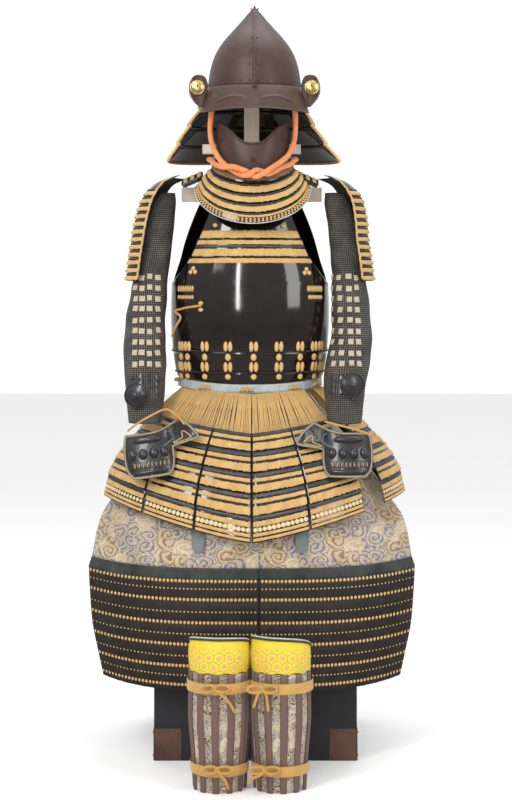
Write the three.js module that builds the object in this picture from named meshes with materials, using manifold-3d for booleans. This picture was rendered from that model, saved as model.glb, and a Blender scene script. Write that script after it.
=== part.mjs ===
// A samurai armour on its wooden stand and storage chest. Millimetres, +Z up, the wearer's front faces -Y.
// The origin is on the floor, under the middle of the chest. Every shell is a grid of outer points in rows
// that run down the piece, with each row going rightwards as seen from outside, and the same grid moved inwards.
import * as THREE from "three";
import { mergeVertices } from "three/addons/utils/BufferGeometryUtils.js";
import Module from "manifold-3d";

const wasm = await Module();
wasm.setup();

// ---- driving sizes ----
const SEAM = 0.5; // gap kept between neighbouring pieces
const TORSO_X = -12; // the cuirass, arms and skirt hang a little off the chest's middle
const HELMET_X = -2;
const SKIRT_X = -8;
const PLATE = 2.5; // lacquered iron or rawhide
const CLOTH = 2.5; // lined brocade

const RAD = Math.PI / 180;
const V = (x, y, z) => new THREE.Vector3(x, y, z);
const lerp = THREE.MathUtils.lerp;
const clamp = THREE.MathUtils.clamp;
const steps = (count) => Array.from({ length: count + 1 }, (_, i) => i / count);

// ---- materials ----
const paint = (color, roughness, metalness = 0) => new THREE.MeshStandardMaterial({ color, roughness, metalness });
const FINISH = {
  black_lacquer: paint(0x14100f, 0.15),
  brown_lacquer: paint(0x3a2a26, 0.4),
  laced_lames: paint(0xc9a050, 0.7),
  mail_cloth: paint(0x2a2522, 0.7),
  brocade: paint(0xb59a74, 0.9),
  leather: paint(0x2b3230, 0.6),
  belt_leather: paint(0xb4bcc0, 0.7),
  scale_panel: paint(0x241c1a, 0.6),
  hexagon_cloth: paint(0xd9b021, 0.9),
  chin_cord: paint(0xdc7a3c, 0.8),
  stand_wood: paint(0xcdb59c, 0.7),
  chest_lacquer: paint(0x22242a, 0.5),
};

// ---- tables and walls ----
// The columns of a table between its rows, on smooth curves that never overshoot a row.
function along(table, key, at) {
  const last = table.length - 1;
  const up = table[last][key] > table[0][key];
  let i = 0;
  while (i < last - 1 && (up ? at > table[i + 1][key] : at < table[i + 1][key])) i++;
  const [a, b] = [table[i], table[i + 1]];
  const gap = b[key] - a[key];
  const t = clamp((at - a[key]) / gap, 0, 1);
  const slope = (name, k) => (table[k + 1][name] - table[k][name]) / (table[k + 1][key] - table[k][key]);
  const tangent = (name, k) => {
    if (k === 0) return slope(name, 0);
    if (k === last) return slope(name, last - 1);
    const [before, after] = [slope(name, k - 1), slope(name, k)];
    return before * after <= 0 ? 0 : (2 * before * after) / (before + after);
  };
  const found = {};
  for (const name of Object.keys(a)) {
    if (typeof a[name] !== "number") continue;
    const [ma, mb] = [tangent(name, i) * gap, tangent(name, i + 1) * gap];
    found[name] =
      a[name] * (2 * t ** 3 - 3 * t ** 2 + 1) +
      ma * (t ** 3 - 2 * t ** 2 + t) +
      b[name] * (3 * t ** 2 - 2 * t ** 3) +
      mb * (t ** 3 - t ** 2);
  }
  return found;
}

// A closed solid between an outer and an inner grid of points. A closed grid wraps round in its rows.
function shell(outer, inner, closed = false) {
  const points = [];
  const triangle = (a, b, c) => {
    const area = V(0, 0, 0).crossVectors(b.clone().sub(a), c.clone().sub(a)).length();
    if (area > 1e-6) points.push(a, b, c);
  };
  const quad = (a, b, c, d) => {
    triangle(a, b, c);
    triangle(a, c, d);
  };
  const down = outer.length - 1;
  const count = outer[0].length;
  const across = closed ? count : count - 1;
  for (let j = 0; j < down; j++) {
    for (let i = 0; i < across; i++) {
      const k = (i + 1) % count;
      quad(outer[j][i], outer[j + 1][i], outer[j + 1][k], outer[j][k]);
      quad(inner[j][k], inner[j + 1][k], inner[j + 1][i], inner[j][i]);
    }
  }
  for (let i = 0; i < across; i++) {
    const k = (i + 1) % count;
    quad(outer[0][k], inner[0][k], inner[0][i], outer[0][i]);
    quad(outer[down][i], inner[down][i], inner[down][k], outer[down][k]);
  }
  if (!closed) {
    for (let j = 0; j < down; j++) {
      quad(outer[j][0], inner[j][0], inner[j + 1][0], outer[j + 1][0]);
      quad(outer[j + 1][across], inner[j + 1][across], inner[j][across], outer[j][across]);
    }
  }
  return new THREE.BufferGeometry().setFromPoints(points);
}

// A wall of even thickness behind a grid of outer points.
function wall(rows, thickness, closed = false) {
  const count = rows[0].length;
  const column = (i) => (closed ? (i + count) % count : clamp(i, 0, count - 1));
  const normals = rows.map((row, j) =>
    row.map((_, i) => {
      const across = row[column(i + 1)].clone().sub(row[column(i - 1)]);
      const below = rows[Math.min(j + 1, rows.length - 1)][i];
      const above = rows[Math.max(j - 1, 0)][i];
      return V(0, 0, 0).crossVectors(below.clone().sub(above), across).normalize();
    }),
  );
  const inner = rows.map((row, j) =>
    row.map((point, i) => {
      let normal = normals[j][i];
      if (normal.length() < 0.5) {
        normal = normals[j === 0 ? 1 : j - 1].reduce((sum, n) => sum.add(n), V(0, 0, 0)).normalize();
      }
      return point.clone().addScaledVector(normal, -thickness);
    }),
  );
  return shell(rows, inner, closed);
}

// The other side's copy of a grid: mirrored in X, with its rows still rightwards as seen from outside.
const mirrored = (rows) => rows.map((row) => row.map((p) => V(-p.x, p.y, p.z)).reverse());

const grid = (down, across, point) => down.map((v) => across.map((u) => point(u, v)));

// ---- booleans ----
function toManifold(geometry) {
  const bare = geometry.index ? geometry.toNonIndexed() : geometry.clone();
  bare.deleteAttribute("normal");
  bare.deleteAttribute("uv");
  const merged = mergeVertices(bare, 1e-3);
  return new wasm.Manifold(
    new wasm.Mesh({
      numProp: 3,
      vertProperties: merged.attributes.position.array,
      triVerts: new Uint32Array(merged.index.array),
    }),
  );
}

function toGeometry(manifold) {
  const mesh = manifold.getMesh();
  return new THREE.BufferGeometry()
    .setAttribute("position", new THREE.BufferAttribute(new Float32Array(mesh.vertProperties), 3))
    .setIndex(new THREE.BufferAttribute(new Uint32Array(mesh.triVerts), 1));
}

function box(low, high) {
  const [a, b] = [V(...low), V(...high)];
  const size = b.clone().sub(a);
  const middle = a.clone().add(b).multiplyScalar(0.5);
  return new THREE.BoxGeometry(size.x, size.y, size.z).translate(middle.x, middle.y, middle.z);
}

// ---- the tree ----
const armour = new THREE.Group();
const torsoGroup = new THREE.Group();
const helmetGroup = new THREE.Group();
const skirtGroup = new THREE.Group();
torsoGroup.position.x = TORSO_X;
helmetGroup.position.x = HELMET_X;
skirtGroup.position.x = SKIRT_X;
armour.add(torsoGroup, helmetGroup, skirtGroup);

function piece(name, finish, geometry, parent = armour) {
  const mesh = new THREE.Mesh(geometry, FINISH[finish]);
  mesh.name = name;
  parent.add(mesh);
  return mesh;
}

// A left and a right piece from the right one's grid. "l" is on the -X side.
function pair(name, finish, rows, thickness, parent, closed = false) {
  piece(`${name}_r`, finish, wall(rows, thickness, closed), parent);
  piece(`${name}_l`, finish, wall(mirrored(rows), thickness, closed), parent);
}

// ---- chest and stand ----
const CHEST = { half: 212, depth: 190, height: 460, board: 12 };
const LID = { clear: 0.5, board: 6, skirt: 70, top: 10 };
const POST = { half: 16.5, deep: 10, x: -8.5, top: 1562 };
const BARS = {
  back: POST.deep + 20.5,
  head: { from: -117, to: 100, low: 1286, high: 1306 },
  shoulder: { from: -163, to: 146, low: 1180, high: 1211 },
};

function chestBody() {
  const { half, depth, height, board } = CHEST;
  const block = toManifold(box([-half, -depth, 0], [half, depth, height]));
  const room = toManifold(box([-half + board, -depth + board, board], [half - board, depth - board, height + 1]));
  return toGeometry(block.subtract(room));
}

function chestLid() {
  const low = CHEST.height - LID.skirt;
  const high = CHEST.height + SEAM + LID.top;
  const fit = CHEST.half + LID.clear;
  const fitDepth = CHEST.depth + LID.clear;
  const block = box([-fit - LID.board, -fitDepth - LID.board, low], [fit + LID.board, fitDepth + LID.board, high]);
  const room = box([-fit, -fitDepth, low - 1], [fit, fitDepth, CHEST.height + SEAM]);
  return toGeometry(toManifold(block).subtract(toManifold(room)));
}

const LID_TOP = CHEST.height + SEAM + LID.top;

function standPost() {
  const { half, deep, x, top } = POST;
  const post = toManifold(box([x - half, -deep, LID_TOP + SEAM], [x + half, deep, top]));
  const { from, to, low, high } = BARS.head;
  return toGeometry(post.add(toManifold(box([from, deep - 1, low], [to, BARS.back, high]))));
}

piece("chest_body", "chest_lacquer", chestBody());
piece("chest_lid", "chest_lacquer", chestLid());
piece("stand_post", "stand_wood", standPost());
const { from, to, low, high } = BARS.shoulder;
piece("shoulder_bar", "stand_wood", box([from, POST.deep + SEAM, low], [to, BARS.back, high]));

// ---- cuirass ----
// Sections of the body at each height: half width, depth to the front and depth to the back.
const TORSO = [
  { z: 1176, half: 118, front: 94, back: 106 },
  { z: 1140, half: 130, front: 108, back: 118 },
  { z: 1096, half: 144, front: 118, back: 125 },
  { z: 1042, half: 160, front: 125, back: 129 },
  { z: 1003, half: 170, front: 129, back: 130 },
  { z: 930, half: 172, front: 133, back: 130 },
  { z: 853, half: 168, front: 129, back: 123 },
  { z: 808, half: 161, front: 122, back: 115 },
  { z: 778, half: 154, front: 116, back: 109 },
];
const ROUNDNESS = 0.86; // under 1 the section fills out between front and side

function torsoPoint(angle, z, lift = 0) {
  const at = along(TORSO, "z", z);
  const [s, c] = [Math.sin(angle), Math.cos(angle)];
  const depth = (c > 0 ? at.front : at.back) + lift;
  const x = Math.sign(s) * (at.half + lift) * Math.abs(s) ** ROUNDNESS;
  return V(x, -Math.sign(c) * depth * Math.abs(c) ** ROUNDNESS, z);
}

// The angle at which the section at height z reaches half width x.
const angleAt = (x, z) => Math.asin(clamp(x / along(TORSO, "z", z).half, 0, 1) ** (1 / ROUNDNESS));

// Half widths of the front and back plates where the armholes cut them away.
const FRONT_EDGE = [
  { z: 1166, half: 82 },
  { z: 1130, half: 96 },
  { z: 1093, half: 112 },
  { z: 1054, half: 129 },
  { z: 1022, half: 150 },
  { z: 1000, half: 169.6 },
];
const BACK_EDGE = [
  { z: 1176, half: 112 },
  { z: 1145, half: 125 },
  { z: 1100, half: 141 },
  { z: 1050, half: 155 },
  { z: 1012, half: 167 },
  { z: 1000, half: 169.6 },
];
const SIDE_GAP = 0.8 * RAD; // the front and back plates stop this short of the side
const reach = (edge, z) => {
  const full = Math.PI / 2 - SIDE_GAP;
  return z <= 1000 ? full : Math.min(full, angleAt(along(edge, "z", z).half, z));
};

// A front plate between two heights. The lower edge can rise towards the sides.
function frontPlate(top, bottom, rows, lift, rise = { top: 0, bottom: 0 }) {
  return grid(steps(rows), steps(14), (u, v) => {
    const z = lerp(top, bottom, v);
    const angle = (2 * u - 1) * reach(FRONT_EDGE, z);
    const up = lerp(rise.top, rise.bottom, v) * Math.sin(angle) ** 2;
    return torsoPoint(angle, z + up, lift);
  });
}

const LAMES = [
  { name: "chest_lame_1", top: 1166, bottom: 1094, rows: 2, lift: 0 },
  { name: "chest_lame_2", top: 1093.5, bottom: 1055, rows: 1, lift: 1 },
  { name: "breastplate", top: 1054.5, bottom: 853.5, rows: 7, lift: 2 },
  { name: "waist_lame_1", top: 853, bottom: 808.5, rows: 1, lift: 1 },
  { name: "waist_lame_2", top: 808, bottom: 783, rows: 1, lift: 0, rise: { top: 0, bottom: 14 } },
];
for (const { name, top, bottom, rows, lift, rise } of LAMES) {
  piece(name, "black_lacquer", wall(frontPlate(top, bottom, rows, lift, rise), PLATE), torsoGroup);
}

const BACK_HEIGHTS = [1176, 1135, 1094, 1048, 1000, 930, 853, 808, 783];
const backRows = grid(BACK_HEIGHTS, steps(14), (u, z) => {
  const angle = Math.PI + (2 * u - 1) * reach(BACK_EDGE, z);
  const up = z === 783 ? 14 * Math.sin(angle) ** 2 : 0;
  return torsoPoint(angle, z + up, 1);
});
piece("backplate", "black_lacquer", wall(backRows, PLATE), torsoGroup);

// Shoulder straps: from the top of the front, over the bar, to the top of the back.
const STRAP = { inside: 62, outside: 106, thick: 4 };
const STRAP_PATH = [
  { y: -90, z: 1174 },
  { y: -74, z: 1189 },
  { y: -46, z: 1205 },
  { y: 0, z: 1219 },
  { y: 20, z: 1222 },
  { y: 45, z: 1216 },
  { y: 72, z: 1201 },
  { y: 90, z: 1184 },
];
const strapRows = STRAP_PATH.toReversed().map(({ y, z }) =>
  [STRAP.inside, STRAP.outside].map((x) => V(x, y, z - 3 * Number(x === STRAP.outside))),
);
pair("shoulder_strap", "leather", strapRows, STRAP.thick, torsoGroup);

// Small laced wings that cover the straps' outer ends.
const WING = { inside: 104, outside: 150, high: 1246, fall: 20, reach: 44, arch: 13, thick: 4 };
const wingRows = grid(steps(4), steps(3), (u, v) => {
  const across = 1 - 2 * v;
  const x = lerp(WING.inside, WING.outside, u);
  return V(x, across * WING.reach, WING.high - WING.fall * u - WING.arch * across ** 2);
});
pair("shoulder_wing", "laced_lames", wingRows, WING.thick, torsoGroup);

// ---- belt and tassets ----
// The skirt's sections from the belt to the hem: half width, front depth, back depth, heights at front and side.
const SKIRT = [
  { at: 0, half: 158, front: 124, back: 116, zFront: 763, zSide: 775 },
  { at: 1, half: 190, front: 153, back: 143, zFront: 725, zSide: 750 },
  { at: 2, half: 222, front: 180, back: 168, zFront: 687, zSide: 724 },
  { at: 3, half: 255, front: 204, back: 190, zFront: 648, zSide: 690 },
  { at: 4, half: 285, front: 227, back: 212, zFront: 606, zSide: 660 },
  { at: 5, half: 309, front: 247, back: 230, zFront: 565, zSide: 630 },
  { at: 6, half: 325, front: 264, back: 244, zFront: 520, zSide: 597 },
  { at: 7, half: 334, front: 275, back: 254, zFront: 466, zSide: 552 },
];
const SKIRT_RISE = 1.2; // how soon the lames rise from the front towards the sides

function skirtPoint(angle, at, lift) {
  const row = along(SKIRT, "at", at);
  const [s, c] = [Math.sin(angle), Math.cos(angle)];
  const depth = (c > 0 ? row.front : row.back) + lift;
  return V((row.half + lift) * s, -depth * c, lerp(row.zFront, row.zSide, Math.abs(s) ** SKIRT_RISE));
}

const BELT = { top: 782.5, bottom: 763.5, lift: 3, rise: 13, thick: 3, gap: 2 * RAD };
const beltRows = grid(steps(1), steps(32), (u, v) => {
  const angle = lerp(-Math.PI + BELT.gap, Math.PI - BELT.gap, u);
  const up = BELT.rise * Math.sin(angle) ** 2;
  const at = torsoPoint(angle, 778, BELT.lift + 2 * v);
  return at.setZ(lerp(BELT.top, BELT.bottom, v) + up);
});
piece("belt_band", "belt_leather", wall(beltRows, BELT.thick), torsoGroup);

// Each tasset hangs on its cords, with five laced lames below them. Angles run from the front, to the right.
const TASSETS = [
  { name: "tasset_side_l", from: -69, to: -42.3 },
  { name: "tasset_front_1", from: -41.7, to: -20.7 },
  { name: "tasset_front_2", from: -20.3, to: -0.2 },
  { name: "tasset_front_3", from: 0.2, to: 20.6 },
  { name: "tasset_front_4", from: 21, to: 44 },
  { name: "tasset_side_r", from: 55.5, to: 78 },
  { name: "tasset_back_1", from: 112, to: 140 },
  { name: "tasset_back_2", from: 147, to: 176 },
  { name: "tasset_back_3", from: 184, to: 213 },
  { name: "tasset_back_4", from: 220, to: 248 },
];
const CORD_FROM = 0.1;
const LAME_FROM = 2;
const LAME_COUNT = 5;
const LAME_STEP = { cords: 2.5, top: 3, bottom: 6, drop: 0.03 };

function tassetWall(start, end) {
  const profile = [
    { at: CORD_FROM, lift: LAME_STEP.cords },
    { at: 1, lift: LAME_STEP.cords },
  ];
  for (let i = 0; i < LAME_COUNT; i++) {
    profile.push({ at: LAME_FROM + i + LAME_STEP.drop, lift: LAME_STEP.top });
    profile.push({ at: LAME_FROM + i + 1, lift: LAME_STEP.bottom });
  }
  const side = (liftOf) =>
    profile.map((row) =>
      steps(3).map((u) => skirtPoint(lerp(start, end, u) * RAD, row.at, liftOf(row))),
    );
  return shell(side((row) => row.lift), side(() => 0));
}
for (const { name, from: start, to: end } of TASSETS) {
  piece(name, "laced_lames", tassetWall(start, end), skirtGroup);
}

// ---- thigh apron ----
// The apron hangs in two halves. Each is brocade, then a leather band, then a panel of scales.
const APRON = [
  { z: 735, half: 148, front: 126, edge: 0, bend: 2.2 },
  { z: 640, half: 225, front: 184, edge: 45, bend: 2.3 },
  { z: 540, half: 296, front: 232, edge: 84, bend: 2.5 },
  { z: 500, half: 322, front: 245, edge: 84, bend: 2.9 },
  { z: 466, half: 334, front: 251, edge: 84, bend: 3.3 },
  { z: 411, half: 344, front: 256, edge: 86, bend: 3.3 },
  { z: 388, half: 350, front: 258, edge: 88, bend: 3.3 },
  { z: 330, half: 347, front: 261, edge: 92, bend: 3.3 },
  { z: 275, half: 342, front: 263, edge: 96, bend: 3.3 },
  { z: 215, half: 330, front: 262, edge: 98, bend: 3.3 },
  { z: 160, half: 318, front: 260, edge: 98, bend: 3.3 },
];
const APRON_SPLIT = 15; // where the halves part, to the right of the skirt's middle

function apronPoint(x, z, lift) {
  const row = along(APRON, "z", z);
  const turn = Math.abs(x / row.half) ** row.bend;
  return V(x * (1 + lift / row.half), -(row.front + lift) + (row.front - row.edge) * turn, z);
}

// One half at the given heights, from its outer edge to the split, or from the split to its outer edge.
function apronHalf(heights, side, lift) {
  const parting = APRON_SPLIT + (side * SEAM) / 2;
  return grid(heights, steps(9), (u, z) => {
    const outer = side * along(APRON, "z", z).half;
    const [left, right] = side < 0 ? [outer, parting] : [parting, outer];
    return apronPoint(lerp(left, right, u), z, lift);
  });
}

const APRON_PARTS = [
  { name: "apron_cloth", finish: "brocade", heights: [735, 690, 640, 590, 540, 500, 455, 411.5], lift: 0 },
  { name: "apron_band", finish: "leather", heights: [411, 389], lift: 1.5 },
  { name: "apron_scales", finish: "scale_panel", heights: [388, 330, 275, 215, 160], lift: 0.5 },
];
for (const { name, finish, heights, lift } of APRON_PARTS) {
  piece(`${name}_l`, finish, wall(apronHalf(heights, -1, lift), CLOTH), skirtGroup);
  piece(`${name}_r`, finish, wall(apronHalf(heights, 1, lift), CLOTH), skirtGroup);
}

// Leather tongues that hang between the apron and the tassets.
const TONGUE = { left: -110, right: 104, half: 13.5, slant: 0.28 };
const TONGUE_DROP = [
  { z: 560, depth: 223, half: 1 },
  { z: 505, depth: 245, half: 1 },
  { z: 462, depth: 254, half: 1 },
  { z: 450, depth: 255.5, half: 0.8 },
  { z: 444, depth: 256, half: 0.4 },
];
for (const [name, middle] of Object.entries({ tongue_l: TONGUE.left, tongue_r: TONGUE.right })) {
  const rows = grid(TONGUE_DROP, [-1, 0, 1], (u, { z, depth, half }) => {
    const x = u * half * TONGUE.half;
    return V(middle + x, -depth + x * TONGUE.slant * Math.sign(middle), z);
  });
  piece(name, "leather", wall(rows, 2), skirtGroup);
}

// ---- helmet ----
const BOWL = [
  { z: 1611, half: 0, depth: 1 },
  { z: 1606, half: 2.6, depth: 1 },
  { z: 1594, half: 13, depth: 1.05 },
  { z: 1571, half: 32.5, depth: 1.1 },
  { z: 1545, half: 56, depth: 1.15 },
  { z: 1519, half: 76.6, depth: 1.18 },
  { z: 1493, half: 90, depth: 1.2 },
  { z: 1467, half: 97.6, depth: 1.21 },
  { z: 1440, half: 101.6, depth: 1.22 },
];
const BROW = { tilt: 3, rim: 1426, ridge: 3, wall: 2.8, peak: 1588 }; // the rim tilts down to the brow
const AROUND = 24;

function bowlPoint(i, z, half, depth) {
  const angle = (i / AROUND) * 2 * Math.PI;
  const ridge = i === 0 ? BROW.ridge * Math.min(1, half / 34) : 0;
  return V(half * Math.sin(angle), -(half * depth + ridge) * Math.cos(angle), z);
}
const turns = Array.from({ length: AROUND }, (_, i) => i);
const rimRow = (inset) =>
  turns.map((i) => {
    const at = bowlPoint(i, BROW.rim, 102.5 - inset, 1.225);
    return at.setZ(BROW.rim + (BROW.tilt * at.y) / 125);
  });
const bowlOuter = grid(BOWL, turns, (i, { z, half, depth }) => bowlPoint(i, z, half, depth));
const bowlInner = grid(BOWL, turns, (i, { z, half, depth }) =>
  bowlPoint(i, Math.min(z, BROW.peak), z > BROW.peak ? 0 : half - BROW.wall, depth),
);
const bowl = shell([...bowlOuter, rimRow(0)], [...bowlInner, rimRow(BROW.wall)], true);
piece("helmet_bowl", "brown_lacquer", bowl, helmetGroup);

// The visor springs from the rim at the brow.
const VISOR = { reach: 68, top: 1421, drop: 57, out: 42, side: 22, swell: 0.75 };
const visorRows = grid(steps(3), steps(16), (u, v) => {
  const angle = (2 * u - 1) * VISOR.reach * RAD;
  const out = v ** VISOR.swell;
  const z = VISOR.top - VISOR.drop * v - 4 * (1 - v) * Math.cos(angle);
  return V(
    (106 + VISOR.side * out) * Math.sin(angle),
    -(131 + VISOR.out * out) * Math.cos(angle),
    z,
  );
});
piece("helmet_visor", "brown_lacquer", wall(visorRows, PLATE), helmetGroup);

// The turned-back ears at the front ends of the neck guard, seen from the front like a comma.
const EAR = [
  { z: 1448, inside: 120, outside: 131 },
  { z: 1438, inside: 112, outside: 139 },
  { z: 1420, inside: 112, outside: 143 },
  { z: 1400, inside: 112, outside: 137 },
  { z: 1378, inside: 114, outside: 121 },
];
const EAR_FRONT = 68;
const EAR_CURL = 20;
const earRows = grid(EAR, steps(3), (u, { z, inside, outside }) => {
  const x = lerp(inside, outside, u);
  return V(x, -EAR_FRONT + EAR_CURL * ((x - 112) / 31) ** 2, z);
});
pair("turnback", "brown_lacquer", earRows, PLATE, helmetGroup);

// The neck guard's edges, from the rim down: half width, depths, and how far from the front it starts,
// and how far it hangs aside.
const NECK = [
  { z: 1412, half: 110, front: 131, back: 132, start: 71, aside: 0 },
  { z: 1382, half: 120, front: 134, back: 142, start: 71, aside: -5 },
  { z: 1344, half: 142, front: 142, back: 158, start: 73, aside: -8 },
  { z: 1304, half: 167, front: 160, back: 178, start: 76, aside: -6 },
  { z: 1266, half: 191, front: 190, back: 200, start: 79, aside: -2 },
];
const NECK_TUCK = 5; // each lame's top edge tucks in behind the one above
const neckPoint = (u, { z, half, front, back, start, aside }, tuck) => {
  const angle = lerp(start, 360 - start, u) * RAD;
  const [s, c] = [Math.sin(angle), Math.cos(angle)];
  const depth = (c > 0 ? front : back) - tuck;
  return V(aside + (half - tuck) * s, -depth * c, z + (c < 0 ? 10 * c * c : 0));
};
for (let i = 0; i < 4; i++) {
  const above = i === 0 ? NECK[0] : { ...NECK[i], z: NECK[i].z - SEAM };
  const edges = [neckEdge(above, i === 0 ? 0 : NECK_TUCK), neckEdge(NECK[i + 1], 0)];
  piece(`neck_lame_${i + 1}`, "laced_lames", wall(edges, PLATE), helmetGroup);
}
function neckEdge(row, tuck) {
  return steps(24).map((u) => neckPoint(u, row, tuck));
}

// ---- mask and throat guard ----
const MASK_X = -6;
const maskGroup = new THREE.Group();
maskGroup.position.x = MASK_X;
armour.add(maskGroup);

// The mask's upper and lower edges by angle from the chin.
const MASK_EDGES = [
  { angle: 0, top: 1296.5, bottom: 1240 },
  { angle: 12, top: 1299, bottom: 1242 },
  { angle: 23.5, top: 1309, bottom: 1246 },
  { angle: 32, top: 1320, bottom: 1250 },
  { angle: 43, top: 1331.5, bottom: 1256 },
  { angle: 58, top: 1339, bottom: 1263 },
  { angle: 72, top: 1341, bottom: 1268 },
  { angle: 84, top: 1336, bottom: 1274 },
];
const MASK = { half: 80, behind: 42, depth: 74, chin: 7 };
const maskRows = grid(steps(4), steps(16), (u, v) => {
  const degrees = (2 * u - 1) * 84;
  const { top, bottom } = along(MASK_EDGES, "angle", Math.abs(degrees));
  const angle = degrees * RAD;
  const chin = MASK.chin * Math.sin(v * Math.PI * 0.7) * Math.cos(angle) ** 3;
  return V(MASK.half * Math.sin(angle), -MASK.behind - MASK.depth * Math.cos(angle) - chin, lerp(top, bottom, v));
});
piece("face_mask", "brown_lacquer", wall(maskRows, PLATE), maskGroup);

// The throat guard's edges hang in swags: half width, heights and depths at the ends and in the middle.
const THROAT = [
  { half: 80, zEnd: 1274, zMiddle: 1236, yEnd: 45, yMiddle: 108 },
  { half: 90, zEnd: 1252, zMiddle: 1214, yEnd: 48, yMiddle: 120 },
  { half: 101, zEnd: 1243, zMiddle: 1191, yEnd: 50, yMiddle: 131 },
  { half: 110, zEnd: 1230, zMiddle: 1170, yEnd: 52, yMiddle: 139 },
  { half: 118, zEnd: 1220, zMiddle: 1149, yEnd: 54, yMiddle: 145 },
  { half: 126, zEnd: 1208, zMiddle: 1125, yEnd: 56, yMiddle: 150 },
];
const THROAT_TUCK = 3.5;
function throatEdge({ half, zEnd, zMiddle, yEnd, yMiddle }, drop, tuck) {
  return steps(12).map((u) => {
    const angle = (2 * u - 1) * 90 * RAD;
    const [s, c] = [Math.sin(angle), Math.cos(angle)];
    return V((half - tuck) * s, -lerp(yEnd, yMiddle, c) + tuck, lerp(zEnd, zMiddle, c) - drop);
  });
}
for (let i = 0; i < 5; i++) {
  const edges = [throatEdge(THROAT[i], SEAM, i === 0 ? 0 : THROAT_TUCK), throatEdge(THROAT[i + 1], 0, 0)];
  piece(`throat_lame_${i + 1}`, "laced_lames", wall(edges, 2), maskGroup);
}

// ---- chin cord ----
// From inside the helmet over one cheek, under the chin, round behind the post, and back the other way.
const CORD_RADIUS = 6;
const CORD_PATH = [
  [-92, -62, 1390],
  [-96, -66, 1366],
  [-98, -60, 1334],
  [-96, -62, 1310],
  [-90, -74, 1290],
  [-82, -85, 1273],
  [-70, -103, 1256.5],
  [-50, -107, 1241],
  [-31, -121, 1230],
  [-14, -139.5, 1228],
  [-1, -137, 1237.5],
  [11, -131, 1237],
  [26, -123, 1231],
  [40, -114, 1237],
  [55, -98, 1246.5],
  [72, -80, 1254],
  [83, -60, 1264],
  [87, -24, 1270],
  [60, 12, 1272],
  [24, 22, 1272],
  [-8, 24, 1272],
  [-40, 22, 1272],
  [-76, 12, 1272],
  [-100, -22, 1270],
  [-96, -58, 1265],
  [-86, -85, 1254],
  [-68, -108, 1246.5],
  [-50, -121, 1247],
  [-31, -130, 1241],
  [-14, -127, 1234],
  [-1, -135, 1225],
  [11, -143, 1228],
  [26, -135, 1238],
  [40, -122, 1248],
  [55, -107, 1259],
  [70, -84, 1274],
  [78, -74, 1290],
  [84, -62, 1310],
  [86, -60, 1334],
  [86, -66, 1366],
  [82, -62, 1390],
];
const cordCurve = new THREE.CatmullRomCurve3(CORD_PATH.map((point) => V(...point)), false, "centripetal");
function tube(curve, radius, lengths, sides) {
  const frames = curve.computeFrenetFrames(lengths, false);
  const rings = steps(lengths).map((t, k) => {
    const middle = curve.getPointAt(t);
    return Array.from({ length: sides }, (_, i) => {
      const angle = (-i / sides) * 2 * Math.PI;
      return middle
        .clone()
        .addScaledVector(frames.normals[k], radius * Math.cos(angle))
        .addScaledVector(frames.binormals[k], radius * Math.sin(angle));
    });
  });
  const ends = [curve.getPointAt(0), curve.getPointAt(1)].map((point) => Array(sides).fill(point));
  const rows = [ends[0], ...rings, ends[1]];
  const points = [];
  for (let j = 0; j < rows.length - 1; j++) {
    for (let i = 0; i < sides; i++) {
      const k = (i + 1) % sides;
      if (j > 0) points.push(rows[j][i], rows[j + 1][k], rows[j][k]);
      if (j < rows.length - 2) points.push(rows[j][i], rows[j + 1][i], rows[j + 1][k]);
    }
  }
  return new THREE.BufferGeometry().setFromPoints(points);
}
piece("chin_cord", "chin_cord", tube(cordCurve, CORD_RADIUS, 80, 8));

// ---- shoulder guards ----
const GUARD = [
  { z: 1234, outside: 171, y: 0, radius: 84, front: -40, back: 50 },
  { z: 1221, outside: 204, y: 0, radius: 74, front: -46, back: 58 },
  { z: 1204, outside: 222, y: 0, radius: 66, front: -52, back: 66 },
  { z: 1171, outside: 240, y: 0, radius: 62, front: -56, back: 72 },
  { z: 1138, outside: 250, y: -8, radius: 61, front: -58, back: 75 },
  { z: 1094, outside: 258, y: -20, radius: 61, front: -58, back: 75 },
  { z: 1050, outside: 264, y: -32, radius: 61, front: -58, back: 75 },
  { z: 1005, outside: 269, y: -42, radius: 61, front: -58, back: 75 },
];
const GUARD_THICK = 4;
const GUARD_WIDER = { from: 1094, over: 90, by: 11 }; // the right one stands off further at its top
const guardRows = (wider) =>
  grid(GUARD, steps(8), (u, { z, outside, y, radius, front, back }) => {
    const angle = lerp(front, back, u) * RAD;
    const out = wider * clamp((z - GUARD_WIDER.from) / GUARD_WIDER.over, 0, 1);
    return V(outside + out + radius * (Math.cos(angle) - 1), y + radius * Math.sin(angle), z);
  });
piece("shoulder_guard_r", "laced_lames", wall(guardRows(GUARD_WIDER.by), GUARD_THICK), torsoGroup);
piece("shoulder_guard_l", "laced_lames", wall(mirrored(guardRows(2)), GUARD_THICK), torsoGroup);

// ---- sleeves and hand guards ----
const SLEEVE_L = [
  { z: 1198, x: -197, y: 0, radius: 22 },
  { z: 1172, x: -204, y: -3, radius: 31 },
  { z: 1073, x: -220, y: -25, radius: 38 },
  { z: 985, x: -230, y: -55, radius: 40 },
  { z: 898, x: -238, y: -80, radius: 46 },
  { z: 850, x: -237, y: -100, radius: 47 },
  { z: 766, x: -234, y: -130, radius: 43 },
  { z: 704, x: -233, y: -158, radius: 36 },
];
const SLEEVE_R = [
  { z: 1198, x: 173, y: 0, radius: 22 },
  { z: 1172, x: 181, y: -3, radius: 31 },
  { z: 1095, x: 196, y: -21, radius: 36 },
  { z: 985, x: 204, y: -55, radius: 40 },
  { z: 888, x: 207, y: -82, radius: 46 },
  { z: 822, x: 196, y: -104, radius: 49 },
  { z: 767, x: 189, y: -130, radius: 45 },
  { z: 704, x: 188, y: -160, radius: 37 },
];
const SLEEVE = { flat: 0.85, rows: 11, around: 12, thick: 3 };

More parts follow.
